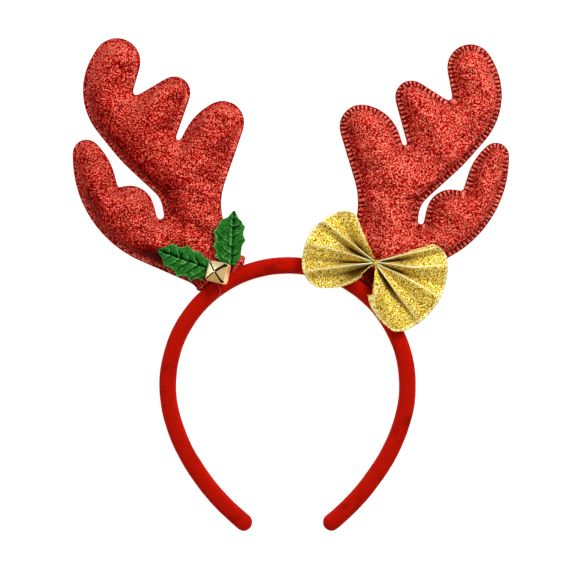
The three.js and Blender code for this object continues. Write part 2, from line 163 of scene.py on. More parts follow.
def node(tree, kind, inputs=None, **settings):
    """Adds a node, sets what it is told and links the sockets it is given."""
    made = tree.nodes.new(kind)
    for key, value in settings.items():
        setattr(made, key, value)
    for key, value in (inputs or {}).items():
        if isinstance(value, bpy.types.NodeSocket):
            tree.links.new(value, made.inputs[key])
        else:
            made.inputs[key].default_value = value
    return made


def rgba(values):
    """A linear colour with full alpha."""
    return (*values, 1.0)


def start_material(name, sockets):
    """A material with one surface shader, whose constant sockets are set directly."""
    material = bpy.data.materials.new(name)
    material.use_nodes = True
    tree = material.node_tree
    tree.nodes.clear()
    shader = node(tree, "ShaderNodeBsdfPrincipled", sockets)
    out = node(tree, "ShaderNodeOutputMaterial")
    tree.links.new(shader.outputs["BSDF"], out.inputs["Surface"])
    return material, tree, shader


def object_coords(tree):
    """Place on the piece, in metres."""
    return node(tree, "ShaderNodeTexCoord").outputs["Object"]


def vertex_value(tree, name):
    """A value kept at the piece's vertices."""
    return node(tree, "ShaderNodeAttribute", attribute_name=name).outputs["Fac"]


def ramp(tree, factor, stops):
    """Colours along a factor, given as (place, colour) pairs."""
    made = node(tree, "ShaderNodeValToRGB", {"Fac": factor})
    elements = made.color_ramp.elements
    while len(elements) < len(stops):
        elements.new(0.5)
    for element, (place, shade) in zip(elements, stops):
        element.position = place
        element.color = rgba(shade)
    return made.outputs["Color"]


def mixed(tree, factor, first, second, blend="MIX"):
    """Two colours blended by a factor; each is a socket or a plain colour."""
    made = node(tree, "ShaderNodeMix", {0: factor}, data_type="RGBA", blend_type=blend)
    for index, value in ((6, first), (7, second)):
        if isinstance(value, bpy.types.NodeSocket):
            tree.links.new(value, made.inputs[index])
        else:
            made.inputs[index].default_value = rgba(value)
    return made.outputs[2]


def maths(tree, operation, first, second):
    """One sum on two values."""
    return node(tree, "ShaderNodeMath", {0: first, 1: second}, operation=operation).outputs[0]


def noise_factor(tree, coords, scale, detail=2.0, roughness=0.5):
    """Cloudy value between 0 and 1."""
    made = node(
        tree,
        "ShaderNodeTexNoise",
        {"Vector": coords, "Scale": scale, "Detail": detail, "Roughness": roughness},
    )
    return made.outputs["Fac"]


def bumped(tree, height, strength, distance, normal=None):
    """Surface normal raised by a height."""
    inputs = {"Height": height, "Strength": strength, "Distance": distance}
    if normal:
        inputs["Normal"] = normal
    return node(tree, "ShaderNodeBump", inputs).outputs["Normal"]


def flake_normal(tree, coords, scale, tilt, grain, depth):
    """Surface normal tipped at random from flake to flake, and raised by the cloth's grain."""
    flakes = node(
        tree,
        "ShaderNodeTexVoronoi",
        {"Vector": coords, "Scale": scale, "Randomness": 1.0},
        voronoi_dimensions="3D",
        feature="F1",
    ).outputs["Color"]
    surface = node(tree, "ShaderNodeNewGeometry").outputs["Normal"]
    centred = node(
        tree, "ShaderNodeVectorMath", {0: flakes, 1: (0.5, 0.5, 0.5)}, operation="SUBTRACT"
    ).outputs[0]
    scaled = node(tree, "ShaderNodeVectorMath", {0: centred, 3: tilt}, operation="SCALE").outputs[0]
    added = node(tree, "ShaderNodeVectorMath", {0: surface, 1: scaled}, operation="ADD").outputs[0]
    tipped = node(tree, "ShaderNodeVectorMath", {0: added}, operation="NORMALIZE").outputs[0]
    return bumped(tree, grain, 0.4, depth, tipped)


def velvet_material(settings):
    """Short red pile: brushed patches, fine fuzz and a soft sheen."""
    material, tree, shader = start_material(
        "velvet",
        {
            "Roughness": 0.92,
            "Specular IOR Level": 0.03,
            "Sheen Weight": 0.2,
            "Sheen Roughness": 0.4,
            "Sheen Tint": (1.0, 0.12, 0.06, 1.0),
        },
    )
    coords = object_coords(tree)
    brushed = noise_factor(tree, coords, 70, 3, 0.6)
    fuzz = noise_factor(tree, coords, 2600, 2, 0.7)
    patches = ramp(tree, brushed, ((0.3, settings.shade), (0.46, settings.pile), (0.72, settings.pile)))
    grain = ramp(tree, fuzz, ((0.3, (0.55, 0.5, 0.5)), (0.7, (1.0, 1.0, 1.0))))
    softer = mixed(tree, 0.6, settings.pile, patches)
    tree.links.new(mixed(tree, 1.0, softer, grain, "MULTIPLY"), shader.inputs["Base Color"])
    tree.links.new(bumped(tree, fuzz, 0.5, 0.0003), shader.inputs["Normal"])
    return material


def glitter_material(name, settings, painted_brightening):
    """Red cloth covered with fine flakes: bright worms of glitter on a dark ground."""
    material, tree, shader = start_material(
        name,
        {
            "Roughness": 0.5,
            "Metallic": 0.2,
            "Specular IOR Level": 0.08,
            "Specular Tint": (1.0, 0.22, 0.16, 1.0),
        },
    )
    coords = object_coords(tree)
    worms = noise_factor(tree, coords, 1 / (settings.flake * MM), 1.0, 0.5)
    # Painted shade, kept at the piece's vertices.
    crease_and_painted_shade = vertex_value(tree, "crease_and_painted_shade")
    # Painted light, kept at the piece's vertices: lifts the flakes towards bright where light is painted,
    # and lowers them where shade is painted.
    painted_light = vertex_value(tree, "painted_light")
    # A whole piece can be painted a little brighter, standing in for more light on it.
    painted_light_shift = maths(tree, "ADD", maths(tree, "MULTIPLY", painted_light, 0.14), painted_brightening)
    tones = ramp(
        tree,
        maths(tree, "ADD", worms, painted_light_shift),
        (
            (0.42, settings.dark),
            (0.49, settings.base),
            (0.55, settings.base),
            (0.63, settings.bright),
        ),
    )
    drift = noise_factor(tree, coords, 60, 2, 0.5)
    cloudy = ramp(tree, drift, ((0.3, (0.86, 0.82, 0.82)), (0.65, (1.0, 1.0, 1.0))))
    sparkling = mixed(tree, 1.0, tones, cloudy, "MULTIPLY")
    # Painted shade: the flakes darken to a deep, purer red where shade is painted.
    shade = mixed(tree, crease_and_painted_shade, (1.0, 1.0, 1.0), (0.13, 0.0, 0.0))
    deeper = mixed(tree, crease_and_painted_shade, (1.0, 1.0, 1.0), (1.0, 0.0, 0.0))
    shaded = mixed(tree, 1.0, mixed(tree, 1.0, sparkling, shade, "MULTIPLY"), deeper, "MULTIPLY")
    tree.links.new(shaded, shader.inputs["Base Color"])
    normal = flake_normal(tree, coords, 1.25 / (settings.flake * MM), 0.55, worms, 0.0004)
    tree.links.new(normal, shader.inputs["Normal"])
    return material


def thread_material(name, shade, light):
    """Sewing thread: a matt twist whose tone varies at random between a darker and a lighter colour."""
    material, tree, shader = start_material(
        name, {"Roughness": 0.8, "Specular IOR Level": 0.1}
    )
    coords = object_coords(tree)
    ply = noise_factor(tree, coords, 1500, 2, 0.6)
    tree.links.new(ramp(tree, ply, ((0.35, shade), (0.7, light))), shader.inputs["Base Color"])
    tree.links.new(bumped(tree, ply, 0.4, 0.0002), shader.inputs["Normal"])
    return material


def leaf_material(settings):
    """Green stiffened cloth, with painted shade in its veins and painted highlights on its ridges."""
    material, tree, shader = start_material(
        "holly_leaf", {"Roughness": 0.5, "Specular IOR Level": 0.14}
    )
    coords = object_coords(tree)
    relief_shading = vertex_value(tree, "relief_shading")
    weave = noise_factor(tree, coords, 1300, 2, 0.6)
    mottled = maths(tree, "ADD", relief_shading, maths(tree, "MULTIPLY", maths(tree, "SUBTRACT", weave, 0.5), 1.6))
    tones = ramp(
        tree,
        mottled,
        ((0.1, settings.dark), (0.48, settings.green), (0.6, settings.green), (1.0, settings.light)),
    )
    tree.links.new(tones, shader.inputs["Base Color"])
    tree.links.new(bumped(tree, weave, 0.6, 0.0004), shader.inputs["Normal"])
    return material


def bell_material(settings):
    """Polished plating with a faint wave and fine rubbing marks; each petal is painted paler or warmer, a
    painted reflection of the light that falls on it.
    """
    material, tree, shader = start_material("bell_metal", {"Metallic": 0.5})
    coords = object_coords(tree)
    rubbed = noise_factor(tree, coords, 900, 3, 0.6)
    waves = noise_factor(tree, coords, 220, 1, 0.4)
    deep, amber = (
        tuple(c * s for c, s in zip(settings.metal, share))
        for share in ((0.95, 0.74, 0.45), (0.95, 0.66, 0.3))
    )
    # Painted reflection: how much of the pale tone each petal gets, more on the petals that face the
    # light.
    plating = vertex_value(tree, "plating")
    pale = ramp(tree, waves, ((0.3, settings.metal), (0.62, (1.0, 0.93, 0.68))))
    warm = ramp(tree, waves, ((0.3, amber), (0.62, deep)))
    tree.links.new(mixed(tree, plating, warm, pale), shader.inputs["Base Color"])
    rough = node(
        tree, "ShaderNodeMapRange", {"Value": rubbed, "To Min": 0.16, "To Max": 0.32}
    ).outputs["Result"]
    tree.links.new(rough, shader.inputs["Roughness"])
    tree.links.new(bumped(tree, waves, 0.12, 0.0008), shader.inputs["Normal"])
    return material


def bell_shadow_material():
    """Painted shadow: a near-black core that stands for the shade inside the bell, seen only through its
    slots.
    """
    material, tree, shader = start_material("bell_inside_shadow", {"Roughness": 0.8, "Metallic": 0.2})
    shadow_mottle = noise_factor(tree, object_coords(tree), 700, 2, 0.5)
    tones = ramp(tree, shadow_mottle, ((0.3, (0.004, 0.003, 0.002)), (0.7, (0.012, 0.008, 0.005))))
    tree.links.new(tones, shader.inputs["Base Color"])
    return material


def gold_material(name, settings):
    """Metal ribbon: a fine glittering weave in several golds with dark gaps."""
    material, tree, shader = start_material(
        name,
        {
            "Metallic": 0.25,
            "Roughness": 0.42,
            "Specular IOR Level": 0.1,
            "Specular Tint": (1.0, 0.78, 0.18, 1.0),
        },
    )
    coords = object_coords(tree)
    weave = noise_factor(tree, coords, 1 / (settings.grain * MM), 1.0, 0.5)
    tones = ramp(
        tree,
        weave,
        ((0.42, settings.dark), (0.49, settings.gold), (0.54, settings.gold), (0.62, settings.bright)),
    )
    # Painted shade deep in the pleats near the knot, kept at the ribbon's vertices.
    fold_shade = vertex_value(tree, "fold_shade")
    # Painted highlight along the pleats' folded edges, and lighter dashes along the hems.
    crest = vertex_value(tree, "crest")
    shaded = mixed(tree, fold_shade, tones, settings.deep)
    tree.links.new(mixed(tree, crest, shaded, settings.crest), shader.inputs["Base Color"])
    normal = flake_normal(tree, coords, 1.2 / (settings.grain * MM), 0.45, weave, 0.0003)
    tree.links.new(normal, shader.inputs["Normal"])
    return material


def floor_material(settings):
    """Pale studio floor that glows evenly."""
    material, tree, shader = start_material(
        "studio_floor",
        {"Roughness": 0.9, "Emission Color": (1.0, 1.0, 1.0, 1.0), "Emission Strength": 0.9},
    )
    drift = noise_factor(tree, object_coords(tree), 3, 2, 0.5)
    near = tuple(0.985 * c for c in settings.floor)
    tree.links.new(ramp(tree, drift, ((0.3, near), (0.7, settings.floor))), shader.inputs["Base Color"])
    return material


# Shared modelling

def put_piece(mesh, name, material, nodes=(), smooth=True, scale=TO_ROW):
    """Turns a bmesh in millimetres into a piece of the object, in place."""
    mesh.transform(scale)
    mesh.normal_update()
    data = bpy.data.meshes.new(name)
    mesh.to_mesh(data)
    mesh.free()
    return put_data(data, name, [material], nodes, smooth)


def put_data(data, name, materials, nodes=(), smooth=True):
    """Makes a mesh in metres a piece of the object, in place of its CAD nodes."""
    for material in materials:
        data.materials.append(material)
    for polygon in data.polygons:
        polygon.use_smooth = smooth
    piece = bpy.data.objects.new(name, data)
    bpy.context.scene.collection.objects.link(piece)
    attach(piece, "root")
    if nodes:
        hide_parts(*nodes)
    return piece


def baked(piece):
    """The mesh of an object with its modifiers applied."""
    graph = bpy.context.evaluated_depsgraph_get()
    return bpy.data.meshes.new_from_object(piece.evaluated_get(graph))


def thicken(piece, wall):
    """Gives an open sheet its wall, on the back."""
    solid = piece.modifiers.new("wall", "SOLIDIFY")
    solid.thickness = wall * MM
    solid.offset = -1


def face_up(mesh):
    """Turns the faces of an open sheet to the front."""
    bmesh.ops.recalc_face_normals(mesh, faces=mesh.faces)
    if sum(f.normal.z for f in mesh.faces) < 0:
        bmesh.ops.reverse_faces(mesh, faces=mesh.faces)


def hump(value, centre, width):
    """A smooth bump: 1 at the centre, falling away over the width."""
    return math.exp(-(((value - centre) / width) ** 2))


def thread_data(name, paths, radius, cyclic=False, sides=1):
    """Tubes of thread along paths given in millimetres, as one mesh in metres."""
    curve = bpy.data.curves.new(name, "CURVE")
    curve.dimensions = "3D"
    curve.bevel_depth = radius * MM
    curve.bevel_resolution = sides
    curve.use_fill_caps = not cyclic
    for path in paths:
        spline = curve.splines.new("POLY")
        spline.points.add(len(path) - 1)
        spline.use_cyclic_u = cyclic
        for point, place in zip(spline.points, path):
            point.co = (*(TO_ROW @ Vector(place)), 1)
    shaper = bpy.data.objects.new(name + "_path", curve)
    bpy.context.scene.collection.objects.link(shaper)
    data = baked(shaper)
    data.name = name
    bpy.data.objects.remove(shaper)
    bpy.data.curves.remove(curve)
    return data


def curve_through(values, place):
    """Smooth value at a place among evenly spaced ones."""
    last = len(values) - 1
    place = min(max(place, 0.0), float(last))
    i = min(int(place), last - 1)
    f = place - i
    a, b = values[i], values[i + 1]
    before = values[i - 1] if i else 2 * a - b
    after = values[i + 2] if i + 2 <= last else 2 * b - a
    return 0.5 * (
        2 * a + (b - before) * f + (2 * before - 5 * a + 4 * b - after) * f * f
        + (3 * a - before - 3 * b + after) * f ** 3
    )


def straight_through(values, place):
    """Value at a place among evenly spaced ones, by straight lines."""
    last = len(values) - 1
    place = min(max(place, 0.0), float(last))
    i = min(int(place), last - 1)
    return values[i] + (values[i + 1] - values[i]) * (place - i)


# Velvet hoop

BAND_ARCS = (
    {"name": "crown", "radius": CROWN_RADIUS, "sweep": 105, "steps": 70},
    {"name": "temple", "radius": 100, "sweep": 16, "steps": 16},
    {"name": "arm", "radius": 133, "sweep": 20, "steps": 26},
)
BAND_SIDES = 36
BAND_SQUARENESS = 2.7
SEAM_HALF_ANGLE = 0.16
SEAM_THREAD = 0.22
SWELLS = ({"scale": 0.09, "height": 0.16}, {"scale": 0.35, "height": 0.05})
TIP_TURNS = (18, 36, 52, 66, 78, 86)


def band_line():
    """Stations of the right half's centre line: place, bearing from the crown."""
    stations = [(Vector((0, CROWN_RADIUS, 0)), 0.0)]
    for arc in BAND_ARCS:
        place, bearing = stations[-1]
        out = Vector((math.sin(bearing), math.cos(bearing), 0))
        centre = place - arc["radius"] * out
        for k in range(1, arc["steps"] + 1):
            turn = bearing + math.radians(arc["sweep"]) * k / arc["steps"]
            stations.append((centre + arc["radius"] * Vector((math.sin(turn), math.cos(turn), 0)), turn))
    return stations


def round_square(angle, squareness):
    """Point of a rounded square of half-width 1, at an angle."""
    cos, sin = math.cos(angle), math.sin(angle)
    reach = (abs(cos) ** squareness + abs(sin) ** squareness) ** (-1 / squareness)
    return reach * cos, reach * sin


class HEADPIECE_OT_band(bpy.types.Operator):
    """Velvet sleeve over a padded hoop, sewn shut along the inside"""

    bl_idname = "headpiece.band"
    bl_label = "Velvet hoop"

    def execute(self, context):
        settings = context.scene.headpiece_band
        half, middle = settings.thick / 2, settings.depth / 2
        mesh = bmesh.new()
        ring = bmesh.ops.create_circle(mesh, cap_ends=False, radius=1, segments=BAND_SIDES)["verts"]
        for vert in ring:
            angle = math.atan2(vert.co.y, vert.co.x)
            out, rise = round_square(angle, BAND_SQUARENESS)
            groove = settings.seam * hump(abs(angle), math.pi, SEAM_HALF_ANGLE)
            vert.co = (0, CROWN_RADIUS + out * half + groove, middle + rise * middle)
        edges = list(mesh.edges)
        place, bearing = Vector((0, CROWN_RADIUS, 0)), 0.0
        for arc in BAND_ARCS:
            centre = place - arc["radius"] * Vector((math.sin(bearing), math.cos(bearing), 0))
            swept = bmesh.ops.spin(
                mesh, geom=edges, cent=centre, axis=UP, angle=-math.radians(arc["sweep"]),
                steps=arc["steps"], use_merge=False, use_duplicate=False,
            )
            edges = [g for g in swept["geom_last"] if isinstance(g, bmesh.types.BMEdge)]
            bearing += math.radians(arc["sweep"])
            place = centre + arc["radius"] * Vector((math.sin(bearing), math.cos(bearing), 0))
        ahead = Vector((math.cos(bearing), -math.sin(bearing), 0))
        centre = Vector((place.x, place.y, middle))
        before = 0.0
        for turn in TIP_TURNS:
            made = bmesh.ops.extrude_edge_only(mesh, edges=edges)["geom"]
            verts = [g for g in made if isinstance(g, bmesh.types.BMVert)]
            edges = [g for g in made if isinstance(g, bmesh.types.BMEdge)]
            step = half * (math.sin(math.radians(turn)) - math.sin(math.radians(before)))
            shrink = math.cos(math.radians(turn)) / math.cos(math.radians(before))
            bmesh.ops.scale(
                mesh, vec=(shrink, shrink, shrink), space=Matrix.Translation(-centre), verts=verts
            )
            bmesh.ops.translate(mesh, vec=ahead * step, verts=verts)
            centre = centre + ahead * step
            before = turn
        bmesh.ops.edgeloop_fill(mesh, edges=edges)
        everything = [*mesh.verts, *mesh.edges, *mesh.faces]
        bmesh.ops.mirror(mesh, geom=everything, axis="X", merge_dist=1e-3)
        bmesh.ops.remove_doubles(mesh, verts=mesh.verts, dist=1e-3)
        bmesh.ops.recalc_face_normals(mesh, faces=mesh.faces)
        mesh.normal_update()
        for vert in mesh.verts:
            swell = sum(noise.noise(vert.co * wave["scale"]) * wave["height"] for wave in SWELLS)
            vert.co += vert.normal * swell
            vert.co.z = max(vert.co.z, 0.0)
        band = put_piece(mesh, "velvet_hoop", velvet_material(settings), ["headband"])
        self.sew(settings)
        return {"FINISHED"}

    def sew(self, settings):
        """Ladder stitches that close the sleeve along the inside of the hoop."""
        inner = settings.thick / 2 - settings.seam + 0.1
        middle = settings.depth / 2
        paths = []
        for side in (-1, 1):
            walked = settings.stitch / 2
            for (a, _), (b, turn) in zip(band_line(), band_line()[1:]):
                walked += (b - a).length
                if walked < settings.stitch:
                    continue
                walked -= settings.stitch
                out = Vector((math.sin(turn), math.cos(turn), 0))
                along = Vector((out.y, -out.x, 0))
                path = []
                for k in range(5):
                    across = (k - 2) / 2
                    place = b - out * (inner + 0.28 * across * across)
                    place = place + along * (0.35 * across) + UP * (middle + 0.75 * across)
                    path.append((side * place.x, place.y, place.z))
                paths.append(path)
        data = thread_data("hoop_seam_stitches", paths, SEAM_THREAD)
        thread = thread_material("hoop_thread", (0.2, 0.004, 0.003), (0.42, 0.02, 0.012))
        put_data(data, "hoop_seam_stitches", [thread])


# Antlers

FOOT_REACH = 76.0
FOOT_PRESS = 0.7
RIM_SPACING = 0.25
SWELL_CAP = 1.6
SWELL_FRAMES = 20
FABRIC = {
    "quality": 6, "mass": 0.2, "tension_stiffness": 12, "compression_stiffness": 12,
    "shear_stiffness": 6, "bending_stiffness": 0.4, "use_pressure": True, "uniform_pressure_force": 4,
    "shrink_min": -0.06, "shrink_max": -0.06, "vertex_group_mass": "held",
}
# Painted shade inside the edge: how far in from the edge it lies and spreads, the inward way of
# the edges that face away from the light and are painted darker, and how much the flakes are
# painted duller where the cloth is turned away from the light.
PAINTED_SHADE_REACH = 18.0
PAINTED_SHADE_RISE = 1.3
PAINTED_SHADE_MOST = 0.95
PLAIN_EDGE_SHADE = {"inset": 5.0, "spread": 8.0, "shaded_edge_inward": Vector((0.15, 0.9, 0)), "painted_dimming": 0.8}
WHIPPED_EDGE_SHADE = {"inset": 5.6, "spread": 2.8, "shaded_edge_inward": Vector((0.4, 0.0, 0)), "painted_dimming": 0.3}
# Painted glint: slopes turned towards this way are painted brighter, by GLINT_LIT.
GLINT = Vector((0.3, 0.7, 0))
GLINT_LIT = 0.3
# Painted shadow that the bow's knot casts on the right antler's foot.
KNOT_SHADE = Vector((47.0, 62.5, 12.0))
KNOT_SHADE_REACH = 5.5
WHIP_SHARES = (1.0, 0.8, 0.6, 0.4, 0.22)
WHIP_LEAN = (-0.5, 1.1)
WHIP_REACH = (0.75, 1.05)
WHIP_TUCK = 0.6
RUN_INSET = 2.7
RUN_HALF = 0.62
RUN_RADIUS = 0.28
RUN_RISE = {-1: -0.2, -0.5: 0.12, 0: 0.2, 0.5: 0.12, 1: -0.2}
LIP_RADIUS = 1.6
FOOT_LIP = (
    (-31.3, 66.0, 10.2), (-30.6, 66.9, 11.0), (-29.2, 68.6, 11.3), (-27.6, 70.4, 11.0),
    (-26.2, 72.0, 10.2), (-25.4, 72.9, 9.0),
)


class Rim:
    """The sewn edge of an antler, as points spaced evenly along it with their inward normals."""

    def __init__(self, loop, spacing):
        area = sum(a.x * b.y - b.x * a.y for a, b in zip(loop, loop[1:] + loop[:1]))
        if area < 0:
            loop = loop[::-1]
        self.points = []
        carry = 0.0
        for a, b in zip(loop, loop[1:] + loop[:1]):
            span = (b - a).length
            while carry < span:
                self.points.append(a.lerp(b, carry / span))
                carry += spacing
            carry -= span
        self.spacing = spacing
        count = len(self.points)
        self.inward = []
        for i in range(count):
            along = (self.points[(i + 2) % count] - self.points[i - 2]).normalized()
            self.inward.append(Vector((-along.y, along.x, 0)))
        self.tree = KDTree(count)
        for i, point in enumerate(self.points):
            self.tree.insert((point.x, point.y, 0), i)
        self.tree.balance()
        self.length = count * spacing

    def near(self, place):
        """Distance from the edge, and the length along it to the nearest point."""
        _, index, gap = self.tree.find((place.x, place.y, 0))
        return gap, index * self.spacing

    def holds(self, place, margin):
        """Whether a place is inside the edge by more than a margin."""
        _, index, gap = self.tree.find((place.x, place.y, 0))
        offset = Vector((place.x, place.y, 0)) - self.points[index]
        return gap > margin and offset.dot(self.inward[index]) > 0

    def stations(self, pitch):
        """Points a whole number of pitches apart, with their inward normals."""
        count = round(self.length / pitch)
        for k in range(count):
            i = round(k * len(self.points) / count) % len(self.points)
            yield self.points[i], self.inward[i]


def cad_solid(name):
    """Merged copy of a CAD node, in millimetres."""
    solid = bmesh.new()
    solid.from_mesh(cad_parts[name].data)
    bmesh.ops.remove_doubles(solid, verts=solid.verts, dist=1e-6)
    solid.transform(FROM_ROW)
    return solid


def seam_wire(solid, height, step):
    """The solid's outline at its seam, evened out and softened."""
    wire = solid.copy()
    geometry = [*wire.verts, *wire.edges, *wire.faces]
    bmesh.ops.bisect_plane(
        wire, geom=geometry, dist=1e-4, plane_co=(0, 0, height), plane_no=UP,
        clear_inner=True, clear_outer=True,
    )
    bmesh.ops.remove_doubles(wire, verts=wire.verts, dist=0.4)
    for _ in range(4):
        long_edges = [e for e in wire.edges if e.calc_length() > 1.25 * step]
        if long_edges:
            bmesh.ops.subdivide_edges(wire, edges=long_edges, cuts=1)
    for _ in range(4):
        bmesh.ops.smooth_vert(
            wire, verts=wire.verts, factor=0.5, use_axis_x=True, use_axis_y=True, use_axis_z=True
        )
    return wire


def walk(wire):
    """The points of a closed wire, in order."""
    wire.verts.ensure_lookup_table()
    loop = [wire.verts[0]]
    edge = loop[0].link_edges[0]
    while edge.other_vert(loop[-1]) != loop[0]:
        loop.append(edge.other_vert(loop[-1]))
        edge = next(e for e in loop[-1].link_edges if e != edge)
    return [Vector((v.co.x, v.co.y, 0)) for v in loop]


def cut_panel(wire, rim, step):
    """Cloth inside a wire outline: an even grid, with a narrow border that joins it to the wire."""
    border = list(wire.edges)
    height = wire.verts[0].co.z
    low = Vector((min(p.x for p in rim.points), min(p.y for p in rim.points), 0))
    high = Vector((max(p.x for p in rim.points), max(p.y for p in rim.points), 0))
    size = high - low
    grid = bmesh.ops.create_grid(
        wire, x_segments=round(size.x / step), y_segments=round(size.y / step), size=1
    )["verts"]
    for vert in grid:
        share = (vert.co + Vector((1, 1, 0))) / 2
        vert.co = (low.x + share.x * size.x, low.y + share.y * size.y, height)
    outside = [v for v in grid if not rim.holds(v.co, 0.75 * step)]
    bmesh.ops.delete(wire, geom=outside, context="VERTS")
    stray = [v for v in wire.verts if v.link_edges and not v.link_faces and v.link_edges[0] not in border]
    bmesh.ops.delete(wire, geom=stray, context="VERTS")
    border = [e for e in wire.edges if len(e.link_faces) < 2]
    bmesh.ops.triangle_fill(wire, use_beauty=True, use_dissolve=False, edges=border, normal=UP)
    return wire


def sewn_shell(panel, seam, edge):
    """Two panels joined round their edge: the front over the seam, the back under it."""
    half = edge / 2
    for vert in panel.verts:
        vert.co.z = seam + half
    rim = [e for e in panel.edges if e.is_boundary]
    front = [*panel.verts, *panel.edges, *panel.faces]
    back = bmesh.ops.duplicate(panel, geom=front)["geom"]
    wall = bmesh.ops.extrude_edge_only(panel, edges=rim)["geom"]
    lowered = {g for g in [*back, *wall] if isinstance(g, bmesh.types.BMVert)}
    bmesh.ops.translate(panel, vec=(0, 0, -edge), verts=list(lowered))
    bmesh.ops.remove_doubles(panel, verts=panel.verts, dist=1e-3)
    bmesh.ops.recalc_face_normals(panel, faces=panel.faces)
    return panel


def stuff(shell, solid, rim, settings):
    """Lifts both panels to the stuffed shape of the solid, and lets it even out."""
    seam, half = settings.seam_height, settings.edge / 2
    form = BVHTree.FromBMesh(solid)
    free = []
    for vert in shell.verts:
        sign = 1 if vert.co.z > seam else -1
        gap, _ = rim.near(vert.co)
        if gap < 0.3:
            continue
        start = Vector((vert.co.x, vert.co.y, seam + sign * 60))
        hit = form.ray_cast(start, Vector((0, 0, -sign)))[0]
        height = hit.z if hit and (hit.z - seam) * sign > half else seam + sign * half
        vert.co.z = height
        if gap > settings.flange * 0.8:
            free.append(vert)
    for _ in range(7):
        bmesh.ops.smooth_vert(
            shell, verts=free, factor=0.5, use_axis_x=False, use_axis_y=False, use_axis_z=True
        )


def inflate(shell, rim, settings, cap):
    """Cloth under pressure, held along its pressed edge; no point moves further than the cap."""
    shell.verts.ensure_lookup_table()
    work = shell.copy()
    work.transform(TO_ROW)
    data = bpy.data.meshes.new("stuffing")
    work.to_mesh(data)
    work.free()
    piece = bpy.data.objects.new("stuffing", data)
    bpy.context.scene.collection.objects.link(piece)
    held = piece.vertex_groups.new(name="held")
    for vert in shell.verts:
        gap, _ = rim.near(vert.co)
        weight = 1.0 - min(max((gap - settings.flange * 0.7) / 1.2, 0.0), 1.0)
        if weight > 0:
            held.add([vert.index], weight, "REPLACE")
    cloth = piece.modifiers.new("cloth", "CLOTH")
    for key, value in FABRIC.items():
        setattr(cloth.settings, key, value)
    cloth.settings.effector_weights.gravity = 0
    cloth.collision_settings.use_collision = False
    scene = bpy.context.scene
    cloth.point_cache.frame_start = 1
    cloth.point_cache.frame_end = SWELL_FRAMES
    for number in range(1, SWELL_FRAMES + 1):
        scene.frame_set(number)
    swollen = baked(piece)
    scene.frame_set(1)
    for vert, after in zip(shell.verts, swollen.vertices):
        move = FROM_ROW @ after.co - vert.co
        if move.length > cap:
            move = move * (cap / move.length)
        vert.co += move
        vert.co.z = max(vert.co.z, 0.0)
    bpy.data.objects.remove(piece)
    bpy.data.meshes.remove(data)
    bpy.data.meshes.remove(swollen)


